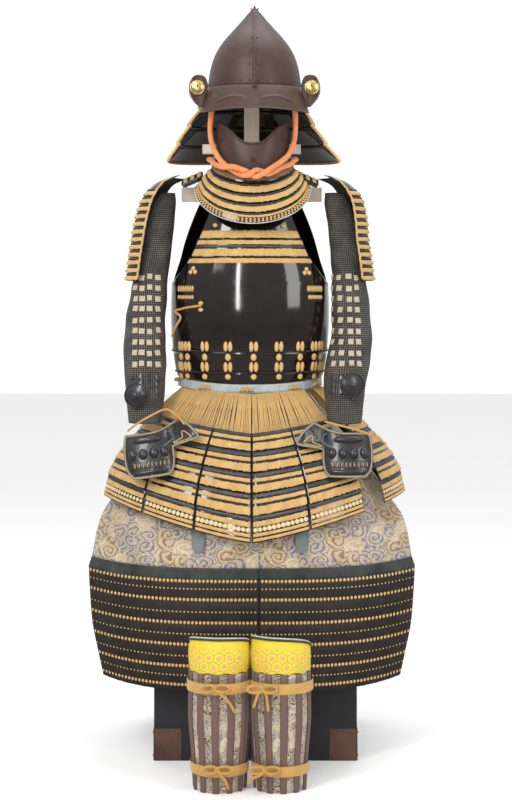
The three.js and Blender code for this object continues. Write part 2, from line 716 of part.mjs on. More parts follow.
function sleeveWall(path) {
  const length = path[0].z - path.at(-1).z;
  const rows = steps(SLEEVE.rows).map((v) => {
    const { x, y, z, radius } = along(path, "z", path[0].z - v * length);
    return Array.from({ length: SLEEVE.around }, (_, i) => {
      const angle = (i / SLEEVE.around) * 2 * Math.PI;
      return V(x + radius * Math.sin(angle), y - radius * SLEEVE.flat * Math.cos(angle), z);
    });
  });
  return wall(rows, SLEEVE.thick, true);
}
piece("sleeve_l", "mail_cloth", sleeveWall(SLEEVE_L));
piece("sleeve_r", "mail_cloth", sleeveWall(SLEEVE_R));

// Domed plates on the forearms.
const DOME = { radius: 27, rise: 9, wall: 2.5 };
const DOMES = {
  arm_dome_l: { at: [-250, -176, 762], turn: 22 },
  arm_dome_r: { at: [203, -178, 784], turn: -18 },
};
for (const [name, { at, turn }] of Object.entries(DOMES)) {
  const cap = (inset) =>
    grid(steps(3), turns.slice(0, 12), (i, v) => {
      const radius = v * (DOME.radius - inset);
      const angle = (i / 12) * 2 * Math.PI;
      return V(radius * Math.cos(angle), -DOME.rise * (1 - v * v) + inset, radius * Math.sin(angle));
    });
  const dome = shell(cap(0), cap(DOME.wall), true);
  dome.rotateZ(-turn * RAD).translate(...at);
  piece(name, "black_lacquer", dome);
}

// Hand guards. The thumb's plate sticks out towards the body, on the side "thumb" is measured, and rises there.
const HAND = [
  { z: 684, thumb: 70, rise: 22, outside: 44, out: 4 },
  { z: 678, thumb: 92, rise: 10, outside: 46, out: 7 },
  { z: 670, thumb: 106, rise: -5, outside: 48, out: 11 },
  { z: 661, thumb: 82, rise: -2, outside: 49, out: 16 },
  { z: 650, thumb: 50, rise: 0, outside: 50, out: 21 },
  { z: 630, thumb: 50, rise: 0, outside: 50, out: 28 },
  { z: 610, thumb: 47, rise: 0, outside: 46, out: 34 },
  { z: 598, thumb: 38, rise: 0, outside: 36, out: 36 },
];
const HAND_FRONT = { y: -196, curl: 26, thick: 3, low: 0.94, thumb: 18 };
const HANDS = {
  l: { x: -221, turn: 8 },
  r: { x: 192, turn: 0 },
};
const HAND_MIDDLE = 640;
// The right hand's grid, about its own middle. Its thumb points to -X.
const handRows = grid(HAND, [-1, -0.75, -0.45, -0.2, 0, 0.25, 0.5, 0.75, 1], (u, { z, thumb, rise, outside, out }) => {
  const x = u < 0 ? u * thumb : u * outside;
  const bend = Math.min(1, Math.abs(x) / 50);
  const back = HAND_FRONT.curl * (1 - Math.sqrt(1 - HAND_FRONT.low * bend ** 2));
  const forward = HAND_FRONT.thumb * clamp((-x - 50) / 40, 0, 1);
  return V(x, HAND_FRONT.y - out + back - forward, z + (u < 0 ? rise * u * u : 0) - HAND_MIDDLE);
});
for (const [side, { x, turn }] of Object.entries(HANDS)) {
  const guard = wall(side === "r" ? handRows : mirrored(handRows), HAND_FRONT.thick);
  guard.rotateY(-turn * RAD).translate(x, 0, HAND_MIDDLE);
  piece(`hand_guard_${side}`, "black_lacquer", guard);
}

// ---- shin guards ----
const SHIN = [
  { z: 300, radius: 57, depth: 52 },
  { z: 268, radius: 59, depth: 56 },
  { z: 233, radius: 58, depth: 58 },
  { z: 150, radius: 59, depth: 60 },
  { z: 70, radius: 53, depth: 54 },
  { z: 0, radius: 49, depth: 50 },
];
const SHINS = {
  l: { x: -71, turn: -7 },
  r: { x: 50, turn: -25 },
};
const SHIN_Y = -382;
const SHIN_ARC = 108;
const SHIN_PARTS = [
  { name: "knee_cover", finish: "hexagon_cloth", heights: [300, 268, 233.5], lift: 1 },
  { name: "shin_guard", finish: "brocade", heights: [233, 190, 150, 110, 70, 35, 0], lift: 0 },
];
for (const { name, finish, heights, lift } of SHIN_PARTS) {
  for (const [side, { x, turn }] of Object.entries(SHINS)) {
    const rows = grid(heights, steps(14), (u, at) => {
      const { radius, depth, z } = along(SHIN, "z", at);
      const angle = (2 * u - 1) * SHIN_ARC * RAD;
      return V((radius + lift) * Math.sin(angle), -(depth + lift) * Math.cos(angle), z);
    });
    const geometry = wall(rows, CLOTH).rotateZ(turn * RAD).translate(x, SHIN_Y, 0);
    piece(`${name}_${side}`, finish, geometry);
  }
}

export default armour;
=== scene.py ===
import random
from math import asin, ceil, copysign, cos, exp, pi, radians, sin, sqrt

import bmesh
import bpy
from mathutils import Matrix, Vector


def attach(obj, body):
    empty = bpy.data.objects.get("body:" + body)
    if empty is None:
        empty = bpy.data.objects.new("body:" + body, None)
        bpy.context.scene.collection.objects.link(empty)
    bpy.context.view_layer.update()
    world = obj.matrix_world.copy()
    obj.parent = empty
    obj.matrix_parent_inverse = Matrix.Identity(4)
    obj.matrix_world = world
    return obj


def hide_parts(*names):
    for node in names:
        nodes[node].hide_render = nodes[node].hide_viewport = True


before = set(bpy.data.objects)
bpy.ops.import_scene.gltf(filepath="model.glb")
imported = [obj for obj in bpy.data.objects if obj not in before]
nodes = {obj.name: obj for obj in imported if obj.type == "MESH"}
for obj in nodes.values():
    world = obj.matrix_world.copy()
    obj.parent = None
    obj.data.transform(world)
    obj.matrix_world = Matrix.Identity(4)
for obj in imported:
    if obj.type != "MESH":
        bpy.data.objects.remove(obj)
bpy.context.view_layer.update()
random.seed(11)


# Sizes below are in millimetres, in the same tables as the solids use. Meshes are in metres.
def clamp(value, low, high):
    return max(low, min(high, value))


def lerp(a, b, t):
    return a + (b - a) * t


def along(table, at):
    # the row between the table's rows at its first column's value, on curves that never overshoot
    rows = table if table[0][0] < table[-1][0] else table[::-1]
    i = 0
    while i < len(rows) - 2 and at > rows[i + 1][0]:
        i += 1
    a, b = rows[i], rows[i + 1]
    gap = b[0] - a[0]
    t = clamp((at - a[0]) / gap, 0, 1)

    def slope(c, k):
        return (rows[k + 1][c] - rows[k][c]) / (rows[k + 1][0] - rows[k][0])

    def tangent(c, k):
        if k == 0 or k == len(rows) - 1:
            return slope(c, 0 if k == 0 else k - 1)
        before, after = slope(c, k - 1), slope(c, k)
        return 0 if before * after <= 0 else 2 * before * after / (before + after)

    return [
        a[c] * (2 * t**3 - 3 * t**2 + 1)
        + tangent(c, i) * gap * (t**3 - 2 * t**2 + t)
        + b[c] * (3 * t**2 - 2 * t**3)
        + tangent(c, i + 1) * gap * (t**3 - t**2)
        for c in range(1, len(a))
    ]


# ---- mesh making ----
def newMesh():
    bm = bmesh.new()
    bm.loops.layers.uv.verify()
    return bm


def pour(small, bm):
    # joins a small mesh to the piece, because operators run faster on a small one
    holder = bpy.data.meshes.new("part")
    small.to_mesh(holder)
    small.free()
    bm.from_mesh(holder)
    bpy.data.meshes.remove(holder)


def addGrid(bm, columns, rows, place, size=(1, 1), material=0, chart=None, weld=0):
    # a grid whose u runs rightwards as seen from outside and v downwards; its map is in metres of cloth
    small = newMesh()
    layer = small.loops.layers.uv.verify()
    made = bmesh.ops.create_grid(small, x_segments=columns, y_segments=rows, size=0.5)
    spots = {vert: (vert.co.x + 0.5, 0.5 - vert.co.y) for vert in made["verts"]}
    for face in small.faces:
        if callable(material):
            middle = [sum(spots[vert][k] for vert in face.verts) / 4 for k in (0, 1)]
            face.material_index = material(*middle)
        else:
            face.material_index = material
        for loop in face.loops:
            u, v = spots[loop.vert]
            x, y = chart(u, v) if chart else (u * size[0], v * size[1])
            loop[layer].uv = (x / 1000, -y / 1000)
    for vert, (u, v) in spots.items():
        vert.co = Vector(place(u, v)) * 0.001
    if weld:
        bmesh.ops.remove_doubles(small, verts=small.verts, dist=weld)
    pour(small, bm)


def cordRoute(points, spacing=4):
    # a smooth curve through the points, sampled at about even steps
    spots = [Vector(p) for p in points]
    padded = [spots[0] * 2 - spots[1], *spots, spots[-1] * 2 - spots[-2]]
    fine = []
    for p0, p1, p2, p3 in zip(padded, padded[1:], padded[2:], padded[3:]):
        count = max(2, ceil((p2 - p1).length / spacing))
        for k in range(count):
            t = k / count
            fine.append(
                0.5 * (2 * p1 + (p2 - p0) * t + (2 * p0 - 5 * p1 + 4 * p2 - p3) * t**2 + (3 * p1 - p0 - 3 * p2 + p3) * t**3)
            )
    return fine + [spots[-1]]


def addTube(bm, route, radius, sides=8, material=0, flat=1.0, up=(0, 0, 1), ends=True):
    # a round or flat cord along a route; flat is its thickness against its width
    route = [Vector(p) for p in route]
    lengths = [0]
    for a, b in zip(route, route[1:]):
        lengths.append(lengths[-1] + (b - a).length)
    frames = []
    side = Vector(up)
    for k in range(len(route)):
        run = (route[min(k + 1, len(route) - 1)] - route[max(k - 1, 0)]).normalized()
        across = side - run * side.dot(run)
        if across.length < 1e-4:
            across = run.orthogonal()
        side = across.normalized()
        frames.append((side, run.cross(side)))
    last = len(route) - 1
    rows = last + (2 if ends else 0)

    def place(u, v):
        step = round(v * rows) - (1 if ends else 0)
        k = clamp(step, 0, last)
        size = 0 if step != k else (0.75 if ends and k in (0, last) else 1)
        angle = 2 * pi * u
        wide, thick = frames[k]
        width = radius(lengths[k] / lengths[-1]) if callable(radius) else radius
        return route[k] + size * width * (wide * cos(angle) + thick * flat * sin(angle))

    girth = 2 * pi * (radius(0.5) if callable(radius) else radius)
    addGrid(bm, sides, rows, place, (girth, lengths[-1]), material, weld=1e-6)


def basisOn(place, a, b, lift=0.0, step=0.5):
    # a point on a surface, with its axes: x rightwards, y upwards, z outwards
    at = Vector(place(a, b))
    right = (Vector(place(a + step * 1e-3, b)) - Vector(place(a - step * 1e-3, b))).normalized()
    down = (Vector(place(a, b + step * 1e-3)) - Vector(place(a, b - step * 1e-3))).normalized()
    out = down.cross(right).normalized()
    basis = Matrix((right, out.cross(right), out)).transposed().to_4x4()
    return Matrix.Translation(at + out * lift) @ basis


def addDome(bm, basis, width, height=None, rise=1.0, segments=8, rings=4, material=0):
    # a low dome, such as a rivet head or a knot of lace, sitting on a surface
    size = Matrix.Diagonal((width / 2, (height or width) / 2, rise, 1))
    place = Matrix.Diagonal((0.001, 0.001, 0.001, 1)) @ basis @ size
    small = newMesh()
    bmesh.ops.create_uvsphere(small, u_segments=segments, v_segments=rings, radius=1, matrix=place)
    for face in small.faces:
        face.material_index = material
    pour(small, bm)


def addBlock(bm, basis, size, bevel=0.4, material=0):
    # a small block with rounded edges
    place = Matrix.Diagonal((0.001, 0.001, 0.001, 1)) @ basis @ Matrix.Diagonal((*size, 1))
    small = newMesh()
    bmesh.ops.create_cube(small, size=1, matrix=place)
    for face in small.faces:
        face.material_index = material
    edges = list(small.edges)
    bmesh.ops.bevel(
        small, geom=edges, offset=bevel / 1000, segments=2, profile=0.5, affect="EDGES", material=-1, clamp_overlap=True
    )
    pour(small, bm)


def finishPiece(name, bm, materials, thickness=0, standsFor=(), smooth=True, rimMaterial=None, bevel=0, weld=True):
    if weld:
        bmesh.ops.remove_doubles(bm, verts=bm.verts, dist=2e-6)
    mesh = bpy.data.meshes.new(name)
    bm.to_mesh(mesh)
    bm.free()
    piece = bpy.data.objects.new(name, mesh)
    bpy.context.scene.collection.objects.link(piece)
    for finish in materials:
        mesh.materials.append(finish)
    for face in mesh.polygons:
        face.use_smooth = smooth
    if thickness:
        wall = piece.modifiers.new("wall", "SOLIDIFY")
        wall.thickness = thickness / 1000
        wall.offset = -1
        if rimMaterial is not None:
            wall.material_offset = rimMaterial
            wall.material_offset_rim = rimMaterial
    if bevel:
        edge = piece.modifiers.new("edge", "BEVEL")
        edge.width = bevel / 1000
        edge.segments = 2
        edge.limit_method = "ANGLE"
        edge.angle_limit = radians(40)
    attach(piece, "root")
    present = [node for node in standsFor if node in nodes]
    if present:
        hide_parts(*present)
    return piece


# ---- material making ----
def plug(tree, socket, value):
    if isinstance(value, bpy.types.NodeSocket):
        tree.links.new(value, socket)
    elif value is not None:
        if hasattr(socket.default_value, "__len__") and len(socket.default_value) == 4 and len(value) == 3:
            value = (*value, 1)
        socket.default_value = value


def addNode(tree, kind, inputs=(), **settings):
    made = tree.nodes.new("ShaderNode" + kind)
    for key, value in settings.items():
        setattr(made, key, value)
    pairs = inputs.items() if isinstance(inputs, dict) else enumerate(inputs)
    for key, value in pairs:
        plug(tree, made.inputs[key], value)
    return made


def calc(tree, operation, a, b=None, c=None):
    return addNode(tree, "Math", (a, b, c), operation=operation).outputs[0]


def vector(tree, operation, a, b=None, scale=None):
    made = addNode(tree, "VectorMath", (a, b), operation=operation)
    if scale is not None:
        plug(tree, made.inputs["Scale"], scale)
    return made.outputs["Value"] if operation in ("LENGTH", "DISTANCE", "DOT_PRODUCT") else made.outputs["Vector"]


def ramp(tree, value, stops, interpolation="LINEAR"):
    made = addNode(tree, "ValToRGB", (value,))
    made.color_ramp.interpolation = interpolation
    elements = made.color_ramp.elements
    while len(elements) < len(stops):
        elements.new(0.5)
    for element, (at, colour) in zip(elements, stops):
        element.position = at
        element.color = (*colour, 1) if hasattr(colour, "__len__") else (colour, colour, colour, 1)
    return made.outputs[0]


def mixed(tree, factor, a, b, blend="MIX"):
    made = addNode(tree, "Mix", {0: factor, 6: a, 7: b}, data_type="RGBA", blend_type=blend)
    return made.outputs[2]


def noise(tree, where, scale, detail=3.0, roughness=0.5, distortion=0.0):
    inputs = {"Vector": where, "Scale": scale, "Detail": detail, "Roughness": roughness, "Distortion": distortion}
    return addNode(tree, "TexNoise", inputs).outputs["Fac"]


def spread(tree, value, low, high, outLow=0.0, outHigh=1.0):
    return addNode(tree, "MapRange", (value, low, high, outLow, outHigh)).outputs[0]


def newGroup(name, inputs, outputs):
    tree = bpy.data.node_groups.new(name, "ShaderNodeTree")
    for label, kind, value in inputs:
        socket = tree.interface.new_socket(label, in_out="INPUT", socket_type="NodeSocket" + kind)
        if value is not None:
            socket.default_value = (*value, 1) if kind == "Color" else value
    for label, kind in outputs:
        tree.interface.new_socket(label, in_out="OUTPUT", socket_type="NodeSocket" + kind)
    return tree, tree.nodes.new("NodeGroupInput").outputs, tree.nodes.new("NodeGroupOutput").inputs


def useGroup(tree, group, inputs):
    made = tree.nodes.new("ShaderNodeGroup")
    made.node_tree = group
    for key, value in inputs.items():
        plug(tree, made.inputs[key], value)
    return made.outputs


def newFinish(name, roughness=0.5, metallic=0.0, coat=0.0, sheen=0.0, specular=0.5):
    finish = bpy.data.materials.new(name)
    finish.use_nodes = True
    tree = finish.node_tree
    shader = tree.nodes["Principled BSDF"].inputs
    settings = {"Roughness": roughness, "Metallic": metallic, "Coat Weight": coat, "Sheen Weight": sheen}
    for key, value in {**settings, "Specular IOR Level": specular, "Coat Roughness": 0.06}.items():
        shader[key].default_value = value
    where = addNode(tree, "TexCoord").outputs
    return finish, tree, shader, where


def addBump(tree, shader, height, distance, strength=1.0):
    bump = addNode(tree, "Bump", {"Height": height, "Distance": distance, "Strength": strength})
    tree.links.new(bump.outputs[0], shader["Normal"])


# grain: fine unevenness for lacquer, leather, wood and iron
grainGroup, given, out = newGroup(
    "grain", [("Vector", "Vector", None), ("Scale", "Float", 400.0)], [("Fine", "Float"), ("Patches", "Float")]
)
fine = noise(grainGroup, given["Vector"], given["Scale"], 4, 0.6)
plug(grainGroup, out["Fine"], fine)
broad = noise(grainGroup, given["Vector"], calc(grainGroup, "MULTIPLY", given["Scale"], 0.06), 5, 0.6)
plug(grainGroup, out["Patches"], spread(grainGroup, broad, 0.35, 0.7))

# braid: the slanting plaits of a silk cord, from a map in metres
braidGroup, given, out = newGroup(
    "braid", [("UV", "Vector", None), ("Plaits", "Float", 500.0)], [("Height", "Float"), ("Wear", "Float")]
)
parts = addNode(braidGroup, "SeparateXYZ", (given["UV"],)).outputs
leaning = calc(braidGroup, "ADD", parts[1], calc(braidGroup, "PINGPONG", parts[0], 0.004))
plait = calc(braidGroup, "SINE", calc(braidGroup, "MULTIPLY", leaning, calc(braidGroup, "MULTIPLY", given["Plaits"], 6.283)))
fibre = noise(braidGroup, given["UV"], 2600, 2)
plug(braidGroup, out["Height"], calc(braidGroup, "ADD", calc(braidGroup, "MULTIPLY", plait, 0.4), fibre))
plug(braidGroup, out["Wear"], spread(braidGroup, noise(braidGroup, given["UV"], 45, 4, 0.6), 0.3, 0.75))


def silkFinish(name, light, dark, plaits=480.0, gap=0.35):
    # ochre or orange braid: brighter on the plaits, with painted shade darkening the colour in the hollows
    finish, tree, shader, where = newFinish(name, 0.78, sheen=0.25)
    braid = useGroup(tree, braidGroup, {"UV": where["UV"], "Plaits": plaits})
    tone = mixed(tree, braid["Wear"], light, dark)
    # painted shade: the colour is multiplied darker in the hollows between the plaits
    hollow = spread(tree, braid["Height"], -0.1, 0.55)
    shade = calc(tree, "ADD", calc(tree, "MULTIPLY", hollow, gap), 1 - gap)
    plug(tree, shader["Base Color"], mixed(tree, 1.0, tone, shade, "MULTIPLY"))
    addBump(tree, shader, braid["Height"], 0.0005, 0.5)
    return finish


def lacquerFinish(name, base, worn, roughness, coat, grain=500.0, bump=0.15, spreadRough=0.1, ripple=0.0, specular=0.5):
    # lacquer over iron or hide, with dull patches and a slightly uneven skin
    finish, tree, shader, where = newFinish(name, roughness, coat=coat, specular=specular)
    grains = useGroup(tree, grainGroup, {"Vector": where["Object"], "Scale": grain})
    plug(tree, shader["Base Color"], mixed(tree, calc(tree, "MULTIPLY", grains["Patches"], 0.8), base, worn))
    speck = calc(tree, "MULTIPLY", grains["Fine"], spreadRough)
    rough = calc(tree, "ADD", calc(tree, "MULTIPLY", grains["Patches"], spreadRough), speck)
    plug(tree, shader["Roughness"], calc(tree, "ADD", rough, roughness - spreadRough / 2))
    height = grains["Fine"]
    if ripple:
        wave = noise(tree, where["Object"], 14, 2)
        height = calc(tree, "ADD", calc(tree, "MULTIPLY", height, 0.05), calc(tree, "MULTIPLY", wave, ripple))
    addBump(tree, shader, height, 0.0008, bump)
    return finish


blackLacquer = lacquerFinish("blackLacquer", (0.007, 0.0045, 0.0035), (0.014, 0.009, 0.007), 0.08, 0.5, 700, 0.3, 0.05, 1.6)
dullLacquer = lacquerFinish("dullLacquer", (0.012, 0.010, 0.010), (0.028, 0.024, 0.022), 0.38, 0.15, 600, 0.25, 0.2)
russetLacquer = lacquerFinish("russetLacquer", (0.056, 0.027, 0.019), (0.072, 0.040, 0.030), 0.42, 0.0, 900, 0.2, 0.1, 0, 0.42)
ochreSilk = silkFinish("ochreSilk", (0.72, 0.47, 0.17), (0.56, 0.33, 0.10))
brownSilk = silkFinish("brownSilk", (0.30, 0.17, 0.06), (0.17, 0.09, 0.03))
orangeSilk = silkFinish("orangeSilk", (0.86, 0.36, 0.12), (0.78, 0.20, 0.06), 260.0, 0.25)
paleSilk = silkFinish("paleSilk", (0.80, 0.62, 0.36), (0.66, 0.44, 0.18))
print("materials: lacquer and silk ready")

# ---- camera, light and floor ----
studio = {
    "distance": 3.8,
    "eyeHeight": 0.9629,
    "lens": 77.73,
    "shift": -0.125,
    "frontLight": 0.34,
    "topLight": 0.55,
    "backLight": 0.55,
    "keyLight": 62.0,
    "fillLight": 30.0,
    "stripLight": 9.0,
}


def addStudio():
    scene = bpy.context.scene
    camera = bpy.data.objects.new("camera", bpy.data.cameras.new("camera"))
    scene.collection.objects.link(camera)
    camera.location = (0.0011, -studio["distance"], studio["eyeHeight"])
    camera.rotation_euler = (radians(90), 0, 0)
    camera.data.lens = studio["lens"]
    camera.data.shift_y = studio["shift"]
    camera.data.clip_end = 60
    scene.camera = camera
    scene.view_settings.view_transform = "Standard"
    world = bpy.data.worlds.new("studio")
    scene.world = world
    world.use_nodes = True
    tree = world.node_tree
    # the studio is dim in front of the armour, as its lacquer shows, and pale above and behind it
    seen = addNode(tree, "LightPath").outputs["Is Camera Ray"]
    toward = addNode(tree, "SeparateXYZ", (addNode(tree, "TexCoord").outputs["Generated"],)).outputs
    above = calc(tree, "MULTIPLY", calc(tree, "MAXIMUM", toward[2], 0), studio["topLight"])
    behind = calc(tree, "MULTIPLY", calc(tree, "MAXIMUM", toward[1], 0), studio["backLight"])
    light = calc(tree, "ADD", calc(tree, "ADD", above, behind), studio["frontLight"])
    strength = calc(tree, "MAXIMUM", light, calc(tree, "MULTIPLY", seen, 1.1))
    background = tree.nodes["Background"].inputs
    background["Color"].default_value = (1, 1, 1, 1)
    tree.links.new(strength, background["Strength"])
    lamps = (
        ("keyLamp", (-1.5, -2.6, 2.9), (0.9, 2.0), studio["keyLight"]),
        ("fillLamp", (2.3, -2.3, 2.0), (1.2, 1.8), studio["fillLight"]),
        ("topLamp", (0.2, 0.6, 3.6), (2.4, 1.6), studio["fillLight"]),
        ("stripLamp", (-0.45, -3.2, 1.55), (0.16, 0.9), studio["stripLight"]),
    )
    for name, place, size, power in lamps:
        data = bpy.data.lights.new(name, "AREA")
        data.shape = "RECTANGLE"
        data.size, data.size_y = size
        data.energy = power
        lamp = bpy.data.objects.new(name, data)
        lamp.location = place
        lamp.rotation_euler = (Vector((0, 0, 0.9)) - Vector(place)).to_track_quat("-Z", "Y").to_euler()
        scene.collection.objects.link(lamp)
    bm = bmesh.new()
    bmesh.ops.create_grid(bm, x_segments=1, y_segments=1, size=14)
    mesh = bpy.data.meshes.new("floor")
    bm.to_mesh(mesh)
    bm.free()
    floor = bpy.data.objects.new("floor", mesh)
    scene.collection.objects.link(floor)
    finish, tree, shader, _ = newFinish("floor", 0.9)
    mirrored = addNode(tree, "LightPath").outputs["Is Glossy Ray"]
    plug(tree, shader["Base Color"], mixed(tree, mirrored, (0.88, 0.88, 0.88), (0.16, 0.15, 0.14)))
    shader["Emission Color"].default_value = (1, 1, 1, 1)
    shader["Emission Strength"].default_value = 0.12
    mesh.materials.append(finish)


addStudio()
print("studio ready")

# ---- cuirass ----
torsoX, helmetX, skirtX, maskX = -12, -2, -8, -6
torsoSections = (  # height, half width, depth to the front, depth to the back
    (1176, 118, 94, 106),
    (1140, 130, 108, 118),
    (1096, 144, 118, 125),
    (1042, 160, 125, 129),
    (1003, 170, 129, 130),
    (930, 172, 133, 130),
    (853, 168, 129, 123),
    (808, 161, 122, 115),
    (778, 154, 116, 109),
)
frontEdge = ((1166, 82), (1130, 96), (1093, 112), (1054, 129), (1022, 150), (1000, 169.6))
backEdge = ((1176, 112), (1145, 125), (1100, 141), (1050, 155), (1012, 167), (1000, 169.6))
cuirass = {
    "roundness": 0.86,
    "plate": 2.5,
    "sideGap": radians(0.8),
    "lacePitch": 4.75,
    "laceRise": 1.8,
    "pipingRadius": 2.2,
}


def torsoPoint(angle, z, lift=0.0):
    half, front, back = along(torsoSections, z)
    s, c = sin(angle), cos(angle)
    power = cuirass["roundness"]
    depth = (front if c > 0 else back) + lift
    x = copysign((half + lift) * abs(s) ** power, s)
    return Vector((torsoX + x, -copysign(depth * abs(c) ** power, c), z))


def torsoAngle(x, z):
    # the angle at which the body reaches x, seen from the front
    ratio = clamp(abs(x - torsoX) / along(torsoSections, z)[0], 0, 1)
    return copysign(asin(ratio ** (1 / cuirass["roundness"])), x - torsoX)


def plateReach(edge, z):
    full = pi / 2 - cuirass["sideGap"]
    return full if z <= 1000 else min(full, torsoAngle(torsoX + along(edge, z)[0], z))


def frontPlate(top, bottom, lift, rise=0):
    def place(u, v, out=0.0):
        z = lerp(top, bottom, v)
        angle = (2 * u - 1) * plateReach(frontEdge, z)
        return torsoPoint(angle, z + rise * v * sin(angle) ** 2, lift + out)

    return place


def backPlate(u, v, out=0.0):
    z = lerp(1176, 783, v)
    angle = pi + (2 * u - 1) * plateReach(backEdge, z)
    return torsoPoint(angle, z + 14 * sin(angle) ** 2 * max(0, (v - 0.9) * 10), 1 + out)


def addLaces(bm, place, span, height, size, pitch=4.75, rise=1.8, material=1, ragged=0.06, sink=-0.4):
    # upright laces side by side over part of a surface: rounded ribs whose ends are tucked in
    (left, right), (top, bottom) = span, height
    count = max(1, round((right - left) * size[0] / pitch))
    slack = [(random.uniform(-ragged, ragged), random.uniform(-ragged, ragged), random.uniform(0.85, 1.1)) for _ in range(count)]
    ribShape = (0.0, 0.85, 1.0, 0.85)
    endShape = ((0.0, sink), (0.1, 0.75), (0.3, 1.0), (0.7, 1.0), (0.9, 0.75), (1.0, sink))

    def point(u, v):
        k = round(u * 4 * count)
        upper, lower, plump = slack[min(k // 4, count - 1)]
        s, height = endShape[round(v * 5)]
        inRib = ribShape[k % 4]
        s += (upper * (1 - s) + lower * s) if k % 4 else 0
        lift = sink if height < 0 else rise * height * lerp(0.35, plump, inRib)
        if k in (0, 4 * count):
            lift = sink
        return place(lerp(left, right, u), lerp(top, bottom, s), lift)

    shown = ((right - left) * size[0], (bottom - top) * size[1])
    addGrid(bm, 4 * count, 5, point, shown, material)


def addDots(bm, place, span, v, size, pitch, width, rise=1.0, material=3, height=None, lift=0.0):
    (left, right) = span
    count = max(1, round((right - left) * size[0] / pitch))
    for k in range(count):
        u = lerp(left, right, (k + 0.5) / count)
        basis = basisOn(place, u, v, lift)
        addDome(bm, basis, width * random.uniform(0.92, 1.05), height, rise, 8, 4, material)


headLacquer = lacquerFinish("headLacquer", (0.012, 0.012, 0.014), (0.05, 0.05, 0.056), 0.26, 0.3, 800, 0.2, 0.12)
dotSilk = silkFinish("dotSilk", (0.80, 0.66, 0.40), (0.60, 0.44, 0.20))
laced = [blackLacquer, ochreSilk, brownSilk, dotSilk, headLacquer]
bandKinds = {  # material, pitch, rise
    "gold": (1, 4.75, 1.9),
    "brown": (2, 4.75, 1.7),
    "heads": (4, 3.2, 1.2),
}


def addBands(bm, place, size, bands, span=(0.0, 1.0)):
    for kind, top, bottom in bands:
        if kind == "dots":
            addDots(bm, place, span, (top + bottom) / 2, size, 9.5, (bottom - top) * size[1] * 1.1, 1.6)
        else:
            material, pitch, rise = bandKinds[kind]
            addLaces(bm, place, span, (top, bottom), size, pitch, rise, material)


def addSlab(bm, place, size, columns, rows, thick, material=0, back=None, edge=0.8, closed=False):
    # a plate with a front, a back and rolled edges, over place(u, v, lift)
    def samples(count, rim):
        return [0, rim, *(lerp(rim, 1 - rim, k / count) for k in range(1, count)), 1 - rim, 1]

    across = [k / columns for k in range(columns + 1)] if closed else samples(columns, clamp(edge / size[0], 0, 0.3))
    down = samples(rows, clamp(edge / size[1], 0, 0.3))
    last, low = len(across) - 1, len(down) - 1
    ring = 2 * low + 2
    roll = thick * 0.3

    def spot(u, w):
        i, k = round(u * last), round(w * ring) % ring
        return i, (k if k <= low else 2 * low + 1 - k), k <= low

    def point(u, w):
        i, j, front = spot(u, w)
        lift = 0 if front else -thick
        if j in (0, low):
            lift += -roll if front else roll
        if not closed and i in (0, last):
            lift = -thick / 2
        return place(across[i], down[j], lift)

    def chart(u, w):
        i, j, _ = spot(u, w)
        return across[i] * size[0], down[j] * size[1]

    def finishOf(u, w):
        return material if back is None or w * ring < low + 0.6 else back

    addGrid(bm, last, ring, point, size, finishOf, chart, 1e-6)


# Height bounds, lift, and the laced bands of each lame, as fractions of its height.
frontLames = (
    ("chestLame1", "chest_lame_1", 1166, 1094, 0, 0, (("gold", 0.75, 0.985),)),
    ("chestLame2", "chest_lame_2", 1093.5, 1055, 1, 0, (("gold", 0.06, 0.31), ("heads", 0.34, 0.5), ("gold", 0.54, 0.97))),
    ("breastPlate", "breastplate", 1054.5, 853.5, 2, 0, (("gold", 0.012, 0.064),)),
    ("waistLame1", "waist_lame_1", 853, 808.5, 1, 0, ()),
    ("waistLame2", "waist_lame_2", 808, 783, 0, 14, ()),
)
for name, node, top, bottom, lift, rise, bands in frontLames:
    bm = newMesh()
    place = frontPlate(top, bottom, lift, rise)
    width = 2 * 190 if bottom < 1000 else 2 * lerp(along(frontEdge, top)[0], along(frontEdge, bottom)[0], 0.5) * 1.12
    size = (width, top - bottom)
    addSlab(bm, place, size, 72, max(4, round(size[1] / 7)), cuirass["plate"])
    addBands(bm, place, size, bands, (0.02, 0.98))
    finishPiece(name, bm, laced, standsFor=[node])

bm = newMesh()
addSlab(bm, backPlate, (400, 393), 72, 48, cuirass["plate"])
finishPiece("backPlate", bm, laced, standsFor=["backplate"])
print("cuirass ready")

# ---- straps, wings and belt ----
strap = {"inside": 62, "outside": 106, "thick": 4}
strapPath = ((-90, 1174), (-74, 1189), (-46, 1205), (0, 1219), (20, 1222), (45, 1216), (72, 1201), (90, 1184))
wing = {"inside": 104, "outside": 150, "high": 1246, "fall": 20, "reach": 44, "arch": 13, "thick": 3}
belt = {"top": 782.5, "bottom": 763.5, "lift": 3, "rise": 13, "thick": 3, "gap": radians(2)}

brocadeBand, tree, shader, where = newFinish("strapBrocade", 0.8)
cells = addNode(tree, "TexVoronoi", {"Vector": where["UV"], "Scale": 90.0}).outputs
motif = ramp(tree, cells["Distance"], ((0.0, 1.0), (0.35, 1.0), (0.42, 0.0)))
tint = mixed(tree, spread(tree, addNode(tree, "SeparateColor", (cells["Color"],)).outputs[0], 0.4, 0.6), (0.55, 0.42, 0.14), (0.55, 0.5, 0.38))
plug(tree, shader["Base Color"], mixed(tree, motif, (0.02, 0.018, 0.016), tint))
addBump(tree, shader, noise(tree, where["UV"], 900, 2), 0.0004, 0.5)

pipingFinish = silkFinish("palePiping", (0.62, 0.62, 0.60), (0.42, 0.42, 0.40), 300)


